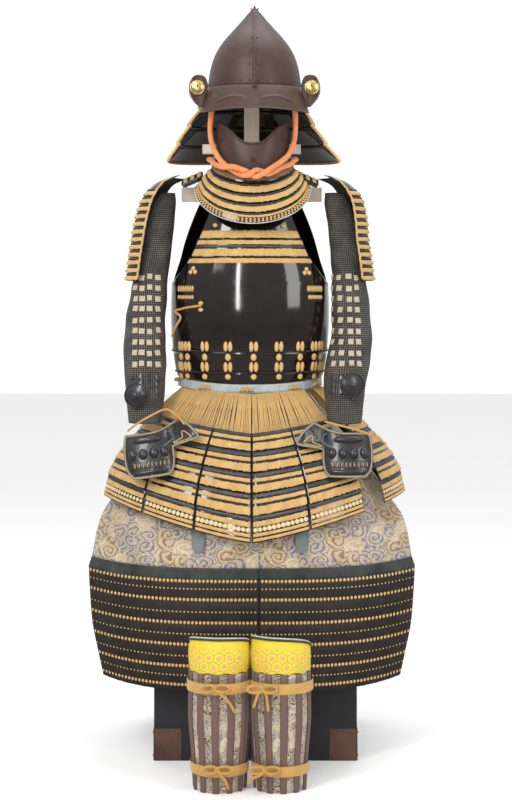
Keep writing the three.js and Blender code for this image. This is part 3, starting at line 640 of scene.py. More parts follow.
def strapSurface(side):
    lengths = [0]
    for a, b in zip(strapPath, strapPath[1:]):
        lengths.append(lengths[-1] + sqrt((a[0] - b[0]) ** 2 + (a[1] - b[1]) ** 2))
    table = [(s / lengths[-1], y, z) for s, (y, z) in zip(lengths, strapPath)]

    def place(u, v, out=0.0):
        # v runs from the back over the bar to the front; u to the right as seen from outside
        y, z = along(table, 1 - v)
        x = lerp(strap["inside"], strap["outside"], u) if side > 0 else -lerp(strap["outside"], strap["inside"], u)
        return Vector((torsoX + x, y + out * y / 150, z + out - 3 * (u if side > 0 else 1 - u)))

    return place, lengths[-1]


for side, mark in ((-1, "l"), (1, "r")):
    place, length = strapSurface(side)
    bm = newMesh()
    addSlab(bm, place, (44, length), 8, 40, strap["thick"])
    finishPiece("strap" + mark.upper(), bm, [brocadeBand], standsFor=["shoulder_strap_" + mark])

    def wingSurface(u, v, out=0.0, side=side):
        across = 1 - 2 * v
        w = u if side > 0 else 1 - u
        x = side * lerp(wing["inside"], wing["outside"], w)
        z = wing["high"] - wing["fall"] * w - wing["arch"] * across**2
        return Vector((torsoX + x + side * out * 0.4, across * wing["reach"], z + out))

    def wingBand(a, b, out=0.0, side=side, surface=wingSurface):
        # the wing's lames run front to back, so their laces lie across it
        return surface((a if side > 0 else 1 - a), b, out)

    bm = newMesh()
    addSlab(bm, wingSurface, (50, 90), 10, 16, wing["thick"])
    for start in (0.06, 0.38, 0.7):
        turned = lambda a, b, out=0.0, side=side: wingSurface((b if side > 0 else 1 - b), 1 - a if side > 0 else a, out)
        addLaces(bm, turned, (0.03, 0.97), (start, start + 0.2), (90, 50), 4.6, 1.8, 1)
        addLaces(bm, turned, (0.03, 0.97), (start + 0.22, start + 0.29), (90, 50), 3.2, 1.2, 4)
    finishPiece("wing" + mark.upper(), bm, laced, standsFor=["shoulder_wing_" + mark])


def beltSurface(u, v, out=0.0):
    angle = lerp(-pi + belt["gap"], pi - belt["gap"], u)
    at = torsoPoint(angle, 778, belt["lift"] + 2 * v + out)
    at.z = lerp(belt["top"], belt["bottom"], v) + belt["rise"] * sin(angle) ** 2
    return at


beltFinish, tree, shader, where = newFinish("beltLeather", 0.55)
worn = noise(tree, where["UV"], 60, 5, 0.65, 1.2)
lines = addNode(tree, "TexVoronoi", {"Vector": where["UV"], "Scale": 38.0}, feature="DISTANCE_TO_EDGE").outputs[0]
tone = mixed(tree, spread(tree, worn, 0.35, 0.65), (0.30, 0.345, 0.35), (0.42, 0.465, 0.465))
plug(tree, shader["Base Color"], mixed(tree, spread(tree, lines, 0.02, 0.07, 0.55, 1.0), (0.50, 0.51, 0.46), tone))
addBump(tree, shader, worn, 0.0006, 0.4)
bm = newMesh()
addSlab(bm, beltSurface, (960, 19), 128, 4, belt["thick"])
finishPiece("beltBand", bm, [beltFinish], standsFor=["belt_band"])

# ---- tassets ----
skirtSections = (  # step, half width, front depth, back depth, heights at the front and at the side
    (0, 158, 124, 116, 763, 775),
    (1, 190, 153, 143, 725, 750),
    (2, 222, 180, 168, 687, 724),
    (3, 255, 204, 190, 648, 690),
    (4, 285, 227, 212, 606, 660),
    (5, 309, 247, 230, 565, 630),
    (6, 325, 264, 244, 520, 597),
    (7, 334, 275, 254, 466, 552),
)
tasset = {"strand": 3.0, "strandRadius": 1.5, "cordTop": -0.28, "lamePitch": 4.75, "plate": 2.4}
tassetSpans = (  # node, and the angles it hangs between, from the front
    ("tasset_side_l", -69, -42.3),
    ("tasset_front_1", -41.7, -20.7),
    ("tasset_front_2", -20.3, -0.2),
    ("tasset_front_3", 0.2, 20.6),
    ("tasset_front_4", 21, 44),
    ("tasset_side_r", 55.5, 78),
    ("tasset_back_1", 112, 140),
    ("tasset_back_2", 147, 176),
    ("tasset_back_3", 184, 213),
    ("tasset_back_4", 220, 248),
)
upperBands = (("heads", 0.02, 0.25), ("gold", 0.29, 0.49), ("gold", 0.60, 0.98))
lowestBands = (("heads", 0.0, 0.19), ("gold", 0.22, 0.43), ("dots", 0.45, 0.63), ("gold", 0.66, 0.79), ("gold", 0.84, 0.955))


def skirtPoint(angle, at, lift):
    half, front, back, zFront, zSide = along(skirtSections, at)
    s, c = sin(angle), cos(angle)
    depth = (front if c > 0 else back) + lift
    return Vector((skirtX + (half + lift) * s, -depth * c, lerp(zFront, zSide, abs(s) ** 1.2)))


for node, start, end in tassetSpans:
    bm = newMesh()
    start, end = radians(start), radians(end)
    middleAngle = (start + end) / 2
    half, front, back, _, _ = along(skirtSections, 2)
    depth = front if cos(middleAngle) > 0 else back
    cordWidth = (end - start) * sqrt((half * cos(middleAngle)) ** 2 + (depth * sin(middleAngle)) ** 2)
    strands = max(6, round(cordWidth / (tasset["strand"] * 1.12)))
    for k in range(strands):
        u = (k + 0.5) / strands
        sway = random.uniform(-0.45, 0.45) / strands
        depthJitter = random.uniform(-0.5, 0.5)
        route = []
        for step in range(9):
            t = step / 8
            at = lerp(0.02, 2.1, t)
            angle = lerp(start, end, u + sway * sin(pi * t))
            route.append(skirtPoint(angle, at, 3.4 + depthJitter + 1.2 * sin(pi * t)))
        addTube(bm, route, tasset["strandRadius"] * random.uniform(0.9, 1.12), 5, 1, ends=False)
    for i in range(5):
        def place(u, v, out=0.0, i=i):
            return skirtPoint(lerp(start, end, u), 2 + i + lerp(0.0, 0.985, v), lerp(3.2, 6, v) + out)

        middle = place(0.5, 0.5)
        across = (place(1, 0.5) - place(0, 0.5)).length * 1.01
        down = (place(0.5, 1) - place(0.5, 0)).length
        addSlab(bm, place, (across, down), 10, 5, tasset["plate"])
        addBands(bm, place, (across, down), lowestBands if i == 4 else upperBands, (0.015, 0.985))
    finishPiece(node.replace("tasset_", "tasset").replace("_", "").title().replace("Tasset", "tasset"), bm, laced, standsFor=[node])
print("tassets ready")

# ---- thigh apron ----
apronSections = (  # height, half width, depth at the front, depth at the edge, how late it turns back
    (735, 148, 126, 0, 2.2),
    (640, 225, 184, 45, 2.3),
    (540, 296, 232, 84, 2.5),
    (500, 322, 245, 84, 2.9),
    (466, 334, 251, 84, 3.3),
    (411, 344, 256, 86, 3.3),
    (388, 350, 258, 88, 3.3),
    (330, 347, 261, 92, 3.3),
    (275, 342, 263, 96, 3.3),
    (215, 330, 262, 98, 3.3),
    (160, 318, 260, 98, 3.3),
)
apron = {"split": 15, "seam": 0.5, "wall": 2.4, "scalePitch": 9.4, "waver": 2.0}
scaleRows = (391.6, 348, 301, 256.4, 212, 172.9)
dotRows = (369.9, 322.9, 278, 232.6, 192.4)


def apronPoint(x, z, lift):
    half, front, edge, bend = along(apronSections, z)
    turn = abs(x / half) ** bend
    return Vector((skirtX + x * (1 + lift / half), -(front + lift) + (front - edge) * turn, z))


def apronHalf(side, top, bottom, lift, waver=0.0):
    parting = apron["split"] + side * apron["seam"] / 2

    def place(u, v, out=0.0):
        z = lerp(top, bottom, v)
        outer = side * along(apronSections, z)[0]
        x = lerp(outer, parting, u) if side < 0 else lerp(parting, outer, u)
        wave = waver * sin(pi * v) * (sin(x / 31 + z / 47) + 0.6 * sin(x / 17 - z / 29))
        return apronPoint(x, z, lift + out + wave)

    return place


def halfSize(place):
    spots = [place(k / 24, 0.5) for k in range(25)]
    wide = sum((b - a).length for a, b in zip(spots, spots[1:]))
    spots = [place(0.5, k / 24) for k in range(25)]
    return wide, sum((b - a).length for a, b in zip(spots, spots[1:]))


# scrolls: curling lines in rounded cells, for brocades
scrollGroup, given, out = newGroup(
    "scrolls", [("UV", "Vector", None), ("Scale", "Float", 40.0)], [("Lines", "Float"), ("Hue", "Float"), ("Weave", "Float")]
)
drift = noise(scrollGroup, given["UV"], calc(scrollGroup, "MULTIPLY", given["Scale"], 1.4), 2)
bent = vector(scrollGroup, "ADD", given["UV"], vector(scrollGroup, "SCALE", addNode(scrollGroup, "TexNoise", {"Vector": given["UV"], "Scale": calc(scrollGroup, "MULTIPLY", given["Scale"], 1.6), "Detail": 2.0}).outputs["Color"], scale=0.018))
cells = addNode(scrollGroup, "TexVoronoi", {"Vector": bent, "Scale": given["Scale"], "Randomness": 0.85})
offset = vector(scrollGroup, "SUBTRACT", vector(scrollGroup, "SCALE", bent, scale=given["Scale"]), vector(scrollGroup, "SCALE", cells.outputs["Position"], scale=given["Scale"]))
parts = addNode(scrollGroup, "SeparateXYZ", (offset,)).outputs
turned = calc(scrollGroup, "DIVIDE", calc(scrollGroup, "ARCTAN2", parts[1], parts[0]), 6.2832)
spin = calc(scrollGroup, "SUBTRACT", calc(scrollGroup, "MULTIPLY", vector(scrollGroup, "LENGTH", offset), 3.4), turned)
curl = calc(scrollGroup, "PINGPONG", spin, 0.5)
plug(scrollGroup, out["Lines"], spread(scrollGroup, curl, 0.12, 0.24))
plug(scrollGroup, out["Hue"], addNode(scrollGroup, "SeparateColor", (cells.outputs["Color"],)).outputs[0])
weft = addNode(scrollGroup, "TexWave", {"Vector": given["UV"], "Scale": 420.0}, bands_direction="Y").outputs["Fac"]
plug(scrollGroup, out["Weave"], calc(scrollGroup, "ADD", calc(scrollGroup, "MULTIPLY", weft, 0.5), noise(scrollGroup, given["UV"], 1500, 2)))


def brocadeFinish(name, ground, cream, blue, brown, scale=34.0):
    finish, tree, shader, where = newFinish(name, 0.82, sheen=0.2)
    scrolls = useGroup(tree, scrollGroup, {"UV": where["UV"], "Scale": scale})
    small = useGroup(tree, scrollGroup, {"UV": where["UV"], "Scale": scale * 2.3})
    thread = ramp(tree, scrolls["Hue"], ((0.0, blue), (0.45, blue), (0.5, brown), (0.72, brown), (0.76, cream)), "CONSTANT")
    fill = mixed(tree, small["Lines"], cream, ground)
    picture = mixed(tree, scrolls["Lines"], thread, fill)
    tone = mixed(tree, spread(tree, noise(tree, where["UV"], 14, 4, 0.6), 0.35, 0.7), (1, 1, 1), (0.72, 0.66, 0.6))
    plug(tree, shader["Base Color"], mixed(tree, 1.0, picture, tone, "MULTIPLY"))
    addBump(tree, shader, scrolls["Weave"], 0.0004, 0.5)
    return finish


brocade = brocadeFinish("apronBrocade", (0.50, 0.37, 0.22), (0.66, 0.56, 0.42), (0.16, 0.20, 0.32), (0.27, 0.17, 0.10))
bandLeather = lacquerFinish("bandLeather", (0.014, 0.020, 0.018), (0.055, 0.065, 0.058), 0.5, 0.0, 420, 0.45, 0.2)
scaleLacquer = lacquerFinish("scaleLacquer", (0.012, 0.008, 0.006), (0.028, 0.018, 0.013), 0.5, 0.0, 500, 0.3, 0.15)
hemLeather = lacquerFinish("hemLeather", (0.085, 0.036, 0.022), (0.12, 0.06, 0.035), 0.6, 0.0, 500, 0.5, 0.2)
apronCloths = []
for side, mark in ((-1, "l"), (1, "r")):
    place = apronHalf(side, 735, 411.5, 0, apron["waver"])
    size = halfSize(place)
    bm = newMesh()
    addGrid(bm, 60, 52, place, size)
    cloth = finishPiece("apronCloth" + mark.upper(), bm, [brocade], apron["wall"], ["apron_cloth_" + mark])
    apronCloths.append((cloth, side, place))

    bandPlace = apronHalf(side, 412, 389, 1.5)
    bm = newMesh()
    addSlab(bm, bandPlace, (size[0], 23), 60, 6, 2.5)
    finishPiece("apronBand" + mark.upper(), bm, [bandLeather], standsFor=["apron_band_" + mark])

    place = apronHalf(side, 388.5, 160, 0.5)
    wide, tall = halfSize(place)
    bm = newMesh()
    addSlab(bm, place, (wide, tall), 48, 24, 2.5, 0)
    scales = round(wide / apron["scalePitch"])
    levels = [388.5, 345.5, 298.5, 254, 209.5, 160]
    for upper, lower in zip(levels, levels[1:]):
        span = ((388.5 - upper) / 228.5, (388.5 - lower) / 228.5)
        addLaces(bm, place, (0.006, 0.994), span, (wide, tall), apron["scalePitch"], 1.5, 0, 0.01)
    for z in scaleRows:
        v = clamp((388.5 - z) / 228.5, 0.012, 0.985)
        addDots(bm, place, (0.008, 0.992), v, (wide, tall), apron["scalePitch"], 6.6, 2.2, 1, 7.6, 1.2)
    for z in dotRows:
        addDots(bm, place, (0.008, 0.992), (388.5 - z) / 228.5, (wide, tall), apron["scalePitch"], 4.2, 1.8, 1, 3.8, 1.2)
    finishPiece("apronScales" + mark.upper(), bm, [scaleLacquer, ochreSilk], standsFor=["apron_scales_" + mark])
print("apron ready")

# ---- helmet ----
bowlSections = (  # height, half width, depth against width
    (1611, 0, 1),
    (1606, 2.6, 1),
    (1594, 13, 1.05),
    (1571, 32.5, 1.1),
    (1558, 44.2, 1.12),
    (1545, 56, 1.15),
    (1532, 67, 1.17),
    (1519, 76.6, 1.18),
    (1506, 84.2, 1.19),
    (1493, 90, 1.20),
    (1480, 94.4, 1.21),
    (1467, 97.6, 1.21),
    (1454, 99.9, 1.215),
    (1440, 101.6, 1.22),
    (1426, 102.5, 1.225),
)
helmet = {
    "tilt": 3,
    "ridge": 3.6,
    "ridgeHalf": 3.4,
    "wall": 2.8,
    "visorReach": radians(68),
    "visorTop": 1425.5,
    "visorDrop": 61.5,
    "browRise": 5,
    "rivet": 5.2,
}
orangeLining = lacquerFinish("orangeLining", (0.52, 0.16, 0.05), (0.40, 0.11, 0.04), 0.6, 0.0, 500, 0.3, 0.2)
darkLining = lacquerFinish("darkLining", (0.02, 0.022, 0.022), (0.045, 0.05, 0.05), 0.75, 0.0, 500, 0.4, 0.1)
goldMetal = newFinish("gildedCopper", 0.28, 1.0)[0]
goldMetal.node_tree.nodes["Principled BSDF"].inputs["Base Color"].default_value = (0.80, 0.58, 0.22, 1)


def bowlPoint(angle, z, lift=0.0):
    half, factor = along(bowlSections, z)
    low = clamp((1476 - z) / 50, 0, 1)
    s, c = sin(angle), cos(angle)
    ridge = 0.0
    if c > 0:
        ridge = helmet["ridge"] * min(1, half / 20) * exp(-((half * s / helmet["ridgeHalf"]) ** 2))
    x, y = (half + lift) * s, -((half + lift) * factor + ridge) * c
    return Vector((helmetX + x, y, z + low * helmet["tilt"] * y / 125))


def bowlSurface(u, v, out=0.0):
    # dense columns at the front, where the raised seam runs
    turn = 2 * u - 1
    angle = pi * (0.35 * turn + 0.65 * copysign(abs(turn) ** 2.2, turn))
    return bowlPoint(angle, lerp(1611, 1426, v), out)


bm = newMesh()
addGrid(bm, 160, 60, bowlSurface, (640, 190), weld=1e-6)
finishPiece("helmetBowl", bm, [russetLacquer], 2.8, ["helmet_bowl"])


def visorSurface(u, v, out=0.0):
    angle = (2 * u - 1) * helmet["visorReach"]
    swell = v**0.75
    z = helmet["visorTop"] - helmet["visorDrop"] * v - 3 * (1 - v) * cos(angle)
    # the lower edge is nearly level over the face and turns up a little at its tips
    z += v * v * (2.5 * cos(angle * 2.2) + 5.5 * (angle / helmet["visorReach"]) ** 4)
    return Vector((helmetX + (106 + 22 * swell + out) * sin(angle), -(131 + 42 * swell + out) * cos(angle), z))


def browRelief(u, v):
    # two crescent brows in low relief, and the root of the nose between them
    angle = (2 * u - 1) * 68
    side = abs(angle)
    brow = 0.70 - 0.22 * sin(clamp(side / 44, 0, 1) * pi)
    inBrow = exp(-(((v - brow) / 0.045) ** 2)) * clamp((side - 5) / 6, 0, 1) * clamp((46 - side) / 8, 0, 1)
    nose = exp(-((angle / 3.4) ** 2)) * clamp((v - 0.55) / 0.3, 0, 1)
    rim = clamp((v - 0.94) / 0.03, 0, 1)
    return 2.6 * inBrow + 3.0 * nose + 1.2 * rim


bm = newMesh()
addSlab(bm, lambda u, v, out=0.0: visorSurface(u, v, out + (browRelief(u, v) if out > -1 else 0)), (300, 66), 96, 40, 2.5)
finishPiece("helmetVisor", bm, [russetLacquer], standsFor=["helmet_visor"])

bm = newMesh()
for k in range(32):
    angle = (k + 0.5) / 32 * 2 * pi
    place = lambda u, v, angle=angle: bowlPoint(angle + u, 1434 - v)
    addDome(bm, basisOn(place, 0, 0), helmet["rivet"], rise=1.8)
for x in (-9, 9):
    for z, aside in ((1467, 1.0), (1500, 0.8), (1528, 0.7)):
        place = lambda u, v, x=x, z=z, aside=aside: bowlPoint(x * aside / 90 + u / 90, z - v)
        addDome(bm, basisOn(place, 0, 0), helmet["rivet"], rise=1.8)
# a small square crest hook below the raised seam
hook = Matrix.Translation((helmetX + 1, -140, 1423)) @ Matrix(((1, 0, 0, 0), (0, 0, -1, 0), (0, 1, 0, 0), (0, 0, 0, 1)))
addBlock(bm, hook, (9.5, 20, 5), 1.6)
addBlock(bm, hook @ Matrix.Translation((0, 4.5, 3)), (8, 9, 5), 1.6)
# the finial: a short spike with two small ears
tip = [Vector((helmetX, 0, 1602)), Vector((helmetX, 0, 1606)), Vector((helmetX, 0, 1610.8))]
addTube(bm, tip, lambda t: lerp(4.2, 1.0, t), 10)
for side in (-1, 1):
    ear = [Vector((helmetX + side * 3, 0, 1601.5)), Vector((helmetX + side * 6.5, 0, 1602)), Vector((helmetX + side * 9, 0, 1605))]
    addTube(bm, ear, lambda t: lerp(2.2, 1.0, t), 8)
finishPiece("helmetRivets", bm, [russetLacquer])

earSections = (
    (1450, 117, 127),
    (1447, 109, 134),
    (1440, 104, 139),
    (1428, 101, 142.5),
    (1416, 101, 143),
    (1404, 104, 139.5),
    (1392, 108, 132),
    (1380, 112, 121),
)
for side, mark in ((-1, "l"), (1, "r")):

    def earSurface(u, v, out=0.0, side=side):
        inside, outside = along(earSections, lerp(1450, 1380, v))
        x = lerp(inside, outside, u if side > 0 else 1 - u)
        return Vector((helmetX + side * x, -68 + 20 * ((x - 112) / 31) ** 2 - out, lerp(1450, 1380, v)))

    bm = newMesh()
    addSlab(bm, earSurface, (40, 70), 14, 32, 2.5, 0)
    for k in range(26):
        addDome(bm, basisOn(earSurface, 0.93 if side > 0 else 0.07, lerp(0.06, 0.97, k / 25), 0.4), 1.9, rise=1.2, material=1)
    middle = Vector((helmetX + side * 123.5, -69, 1422))
    basis = Matrix.Translation(middle) @ Matrix(((1, 0, 0, 0), (0, 0, -1, 0), (0, 1, 0, 0), (0, 0, 0, 1)))
    addDome(bm, basis, 30, 30, 5.5, 28, 12, 2)
    ring = [middle + Vector((14.6 * cos(k * pi / 16), -0.8, 14.6 * sin(k * pi / 16))) for k in range(33)]
    addTube(bm, ring, 1.3, 6, 2, ends=False)
    addDome(bm, basis @ Matrix.Translation((0, 2, 4.4)), 3.4, 8, 2.0, 12, 6, 0)
    finishPiece("turnback" + mark.upper(), bm, [russetLacquer, pipingFinish, goldMetal], standsFor=["turnback_" + mark])

neckSections = (  # height, half width, front and back depth, how far round it starts, how far it hangs aside
    (1412, 110, 131, 132, 71, 0),
    (1382, 120, 134, 142, 71, -5),
    (1344, 142, 142, 158, 73, -8),
    (1304, 167, 160, 178, 76, -6),
    (1266, 191, 190, 200, 79, -2),
)


def neckPoint(u, section, tuck, lift):
    z, half, front, back, start, aside = section
    angle = radians(lerp(start, 360 - start, u))
    s, c = sin(angle), cos(angle)
    depth = (front if c > 0 else back) - tuck + lift
    return Vector((helmetX + aside + (half - tuck + lift) * s, -depth * c, z + (10 * c * c if c < 0 else 0)))


neckBands = (
    (("gold", 0.55, 0.97),),
    (("heads", 0.14, 0.36), ("gold", 0.4, 0.97)),
    (("heads", 0.14, 0.36), ("gold", 0.4, 0.97)),
    (("heads", 0.14, 0.32), ("gold", 0.36, 0.66), ("dots", 0.69, 0.84), ("brown", 0.85, 0.97)),
)
for i in range(4):
    upper, lower = neckSections[i], neckSections[i + 1]

    def place(u, v, out=0.0, i=i, upper=upper, lower=lower):
        top = neckPoint(u, upper, 5 if i else 0, out)
        low = neckPoint(u, lower, 0, out)
        bulge = 2.5 * sin(pi * v)
        return top.lerp(low, v) + Vector((0, 0, out * 0.4 + bulge * 0.6))

    length = 4.3 * lower[1]
    down = (place(0.5, 1) - place(0.5, 0)).length
    bm = newMesh()
    addSlab(bm, place, (length, down), 120, 6, 2.5, 0, 0)
    addBands(bm, place, (length, down), neckBands[i], (0.01, 0.99))
    for u in (0.004, 0.996):  # the laced front edges, a row of small knots of lace
        for k in range(round(down / 5)):
            v = (k + 0.5) / round(down / 5)
            at = place(u, v, 0)
            basis = Matrix.Translation(at + Vector((0, -1.5, 0))) @ Matrix.Rotation(random.uniform(0.3, 0.9) * (1 if u < 0.5 else -1), 4, "Y")
            addDome(bm, basis, 9.5, 7.5, 3.2, 8, 6, 1)
    if i == 3:  # the same brown laces show on the inner side of the rim
        inner = lambda u, v, out=0.0, place=place: place(1 - u, v, -3.6 - out)
        addLaces(bm, inner, (0.01, 0.99), (0.84, 0.985), (length, down), 4.75, 1.4, 2)
    finishPiece(f"neckLame{i + 1}", bm, [*laced, darkLining], standsFor=[f"neck_lame_{i + 1}"])
print("helmet ready")

# ---- mask and throat guard ----
maskEdges = (  # angle from the chin, heights of the upper and lower edges
    (0, 1296.5, 1240),
    (10, 1298, 1241),
    (16, 1301.5, 1243),
    (23.5, 1309, 1246),
    (32, 1320, 1250),
    (43, 1331.5, 1256),
    (58, 1339, 1263),
    (72, 1341, 1268),
    (84, 1336, 1274),
)
mask = {"half": 80, "behind": 42, "depth": 74, "chin": 7, "rim": 2.4}


def maskSurface(u, v, out=0.0):
    degrees = (2 * u - 1) * 84
    top, bottom = along(maskEdges, abs(degrees))
    angle = radians(degrees)
    chin = mask["chin"] * sin(v * pi * 0.7) * max(0, cos(angle)) ** 3
    crease = -2.2 * exp(-(((abs(degrees) - 38 - 14 * v) / 5) ** 2)) * (1 - v)  # a groove beside the mouth
    x = (mask["half"] + out) * sin(angle)
    return Vector((maskX + x, -mask["behind"] - (mask["depth"] + out + crease) * cos(angle) - chin, lerp(top, bottom, v)))


bm = newMesh()
addSlab(bm, maskSurface, (240, 56), 72, 24, 2.5, 0, 1)
addTube(bm, [maskSurface(lerp(0.02, 0.98, k / 60), 0.0, 0.6) for k in range(61)], 2.6, 8, 0)
addTube(bm, [maskSurface(lerp(0.02, 0.98, k / 60), 1.0, 0.6) for k in range(61)], 2.0, 8, 0)
for u in (0.16, 0.84):  # hooks that the chin cord runs through
    at = basisOn(maskSurface, u, 0.3, 0) @ Vector((0, 0, 3))
    loop = [at + Vector((0, -6.5 * sin(pi * k / 10), 11 * cos(pi * k / 10))) for k in range(11)]
    addTube(bm, loop, 1.5, 8, 0)
for u, v in ((0.42, 0.84), (0.58, 0.84), (0.3, 0.62), (0.7, 0.62)):
    addDome(bm, basisOn(maskSurface, u, v), 4.4, rise=1.8)
for k in range(6):  # a plain ring of studs on the chin
    spot = basisOn(maskSurface, 0.5, 0.62) @ Matrix.Translation((4.6 * cos(k * pi / 3), 4.6 * sin(k * pi / 3), 0))
    addDome(bm, spot, 4.2, rise=1.8)
addDome(bm, basisOn(maskSurface, 0.5, 0.62), 4.2, rise=2.4)
finishPiece("faceMask", bm, [russetLacquer, orangeLining], standsFor=["face_mask"])

throatSections = (  # half width, heights at the ends and the middle, depths at the ends and the middle
    (80, 1274, 1236, 45, 108),
    (90, 1252, 1214, 48, 120),
    (101, 1243, 1191, 50, 131),
    (110, 1230, 1170, 52, 139),
    (118, 1220, 1149, 54, 145),
    (126, 1208, 1125, 56, 150),
)


def throatPoint(u, section, tuck, out):
    half, zEnd, zMiddle, yEnd, yMiddle = section
    angle = (2 * u - 1) * pi / 2
    s, c = sin(angle), cos(angle)
    return Vector((maskX + (half - tuck + out) * s, -lerp(yEnd, yMiddle, c) + tuck - out, lerp(zEnd, zMiddle, c)))


throatBands = (
    (("brown", 0.12, 0.86),),
    (("heads", 0.12, 0.3), ("gold", 0.34, 0.97)),
    (("heads", 0.14, 0.34), ("gold", 0.38, 0.97)),
    (("heads", 0.14, 0.34), ("gold", 0.38, 0.97)),
    (("heads", 0.1, 0.22), ("gold", 0.25, 0.46)),
)
for i in range(5):
    upper, lower = throatSections[i], throatSections[i + 1]

    def place(u, v, out=0.0, i=i, upper=upper, lower=lower):
        return throatPoint(u, upper, 3.5 if i else 0, out).lerp(throatPoint(u, lower, 0, out), v) + Vector((0, 0, -0.4 + out * 0.25))

    size = (2.5 * lower[0], (place(0.5, 1) - place(0.5, 0)).length)
    bm = newMesh()
    addSlab(bm, place, size, 60, 5, 2.0)
    addBands(bm, place, size, throatBands[i], (0.015, 0.985))
    if i == 4:
        for v, shift in ((0.6, 0), (0.79, 0.5)):
            addDots(bm, place, (0.015 + shift / 60, 0.985 - shift / 60), v, size, 7.2, 6.4, 1.8, 1, 4.6)
        addTube(bm, [place(k / 48, 0.99, 0.5) for k in range(49)], 1.2, 6, 5)
    finishPiece(f"throatLame{i + 1}", bm, [*laced, pipingFinish], standsFor=[f"throat_lame_{i + 1}"])

# ---- chin cord ----
chinPath = (
    (-92, -62, 1390), (-96, -66, 1366), (-98, -60, 1334), (-96, -62, 1310), (-90, -74, 1290),
    (-82, -85, 1273), (-70, -103, 1256.5), (-50, -107, 1241), (-31, -121, 1230),
    (-14, -139.5, 1228), (-1, -137, 1237.5), (11, -131, 1237), (26, -123, 1231), (40, -114, 1237),
    (55, -98, 1246.5), (72, -80, 1254), (83, -60, 1264), (87, -24, 1270), (60, 12, 1272),
    (24, 22, 1272), (-8, 24, 1272), (-40, 22, 1272), (-76, 12, 1272), (-100, -22, 1270),
    (-96, -58, 1265), (-86, -85, 1254), (-68, -108, 1246.5), (-50, -121, 1247), (-31, -130, 1241),
    (-14, -127, 1234), (-1, -135, 1225), (11, -143, 1228), (26, -135, 1238), (40, -122, 1248),
    (55, -107, 1259), (70, -84, 1274), (78, -74, 1290), (84, -62, 1310), (86, -60, 1334),
    (86, -66, 1366), (82, -62, 1390),
)
bm = newMesh()
addTube(bm, cordRoute(chinPath, 4), 5.9, 14, 0)
finishPiece("chinCord", bm, [orangeSilk], standsFor=["chin_cord"])
print("mask and throat ready")

# ---- shoulder guards ----
guardSections = (  # height, outermost x, middle y, radius, angles at the front and back edge
    (1234, 171, 0, 84, -40, 50),
    (1221, 204, 0, 74, -46, 58),
    (1204, 222, 0, 66, -52, 66),
    (1171, 240, 0, 62, -56, 72),
    (1138, 250, -8, 61, -58, 75),
    (1094, 258, -20, 61, -58, 75),
    (1050, 264, -32, 61, -58, 75),
    (1005, 269, -42, 61, -58, 75),
)
guard = {"lames": 12, "top": 1207, "pitch": 4.75, "wall": 3.4}


def guardSurface(side, top=1234, bottom=1005):
    def place(u, v, out=0.0):
        outside, y, radius, front, back = along(guardSections, lerp(top, bottom, v))
        # the right one stands off further at its top
        outside += (11 if side > 0 else 2) * clamp((lerp(top, bottom, v) - 1094) / 90, 0, 1)
        angle = radians(lerp(front, back, u if side > 0 else 1 - u))
        x = outside + (radius + out) * cos(angle) - radius
        return Vector((torsoX + side * x, y + (radius + out) * sin(angle), lerp(top, bottom, v) + out * 0.2))

    return place


for side, mark in ((-1, "l"), (1, "r")):
    place = guardSurface(side)
    bm = newMesh()
    addSlab(bm, place, (140, 240), 24, 48, guard["wall"], 0, 5)
    inner = guardSurface(side, guard["top"])
    drop = guard["top"] - 1005
    for k in range(guard["lames"]):
        top, bottom = k / guard["lames"], (k + 1) / guard["lames"]
        tall = bottom - top
        # each lame leans out to its lower edge, where the laces are
        lean = lambda u, v, out=0.0, top=top, tall=tall: inner(u, v, out + 2.6 * clamp((v - top) / tall, 0, 1))
        addLaces(bm, lean, (0.02, 0.98), (top + tall * 0.06, top + tall * 0.36), (140, drop), 3.2, 1.2, 4)
        addLaces(bm, lean, (0.02, 0.98), (top + tall * 0.42, top + tall * 0.97), (140, drop), guard["pitch"], 2.6, 1)
    for u in (0.012, 0.988):
        route = [place(u, lerp(0.03, 0.99, k / 40), 1.5 + 1.0 * sin(k * 1.9)) for k in range(41)]
        addTube(bm, route, 2.2, 6, 1)
    finishPiece("shoulderGuard" + mark.upper(), bm, [*laced, darkLining], standsFor=["shoulder_guard_" + mark])
print("shoulder guards ready")

# ---- sleeves ----
sleeveLeft = (  # height, middle x and y, radius
    (1198, -197, 0, 22),
    (1172, -204, -3, 31),
    (1073, -220, -25, 38),
    (985, -230, -55, 40),
    (898, -238, -80, 46),
    (850, -237, -100, 47),
    (766, -234, -130, 43),
    (704, -233, -158, 36),
)
sleeveRight = (
    (1198, 173, 0, 22),
    (1172, 181, -3, 31),
    (1095, 196, -21, 36),
    (985, 204, -55, 40),
    (888, 207, -82, 46),
    (822, 196, -104, 49),
    (767, 189, -130, 45),
    (704, 188, -160, 37),
)
sleeve = {"flat": 0.85, "wall": 2.6, "ring": 4.5, "wrinkle": 1.6}

# mail: dark rings over cloth, as dots of cloth between them
mailGroup, given, out = newGroup(
    "mail", [("UV", "Vector", None), ("Pitch", "Float", 0.0045)], [("Cloth", "Float"), ("Height", "Float")]
)
cells = vector(mailGroup, "DIVIDE", given["UV"], addNode(mailGroup, "CombineXYZ", (given["Pitch"], given["Pitch"], 1.0)).outputs[0])
parts = addNode(mailGroup, "SeparateXYZ", (cells,)).outputs
nearX = calc(mailGroup, "PINGPONG", parts[0], 0.5)
nearY = calc(mailGroup, "PINGPONG", parts[1], 0.5)
away = calc(mailGroup, "SQRT", calc(mailGroup, "ADD", calc(mailGroup, "MULTIPLY", nearX, nearX), calc(mailGroup, "MULTIPLY", nearY, nearY)))
plug(mailGroup, out["Cloth"], spread(mailGroup, away, 0.34, 0.22))
plug(mailGroup, out["Height"], calc(mailGroup, "SINE", calc(mailGroup, "MULTIPLY", away, 6.28)))

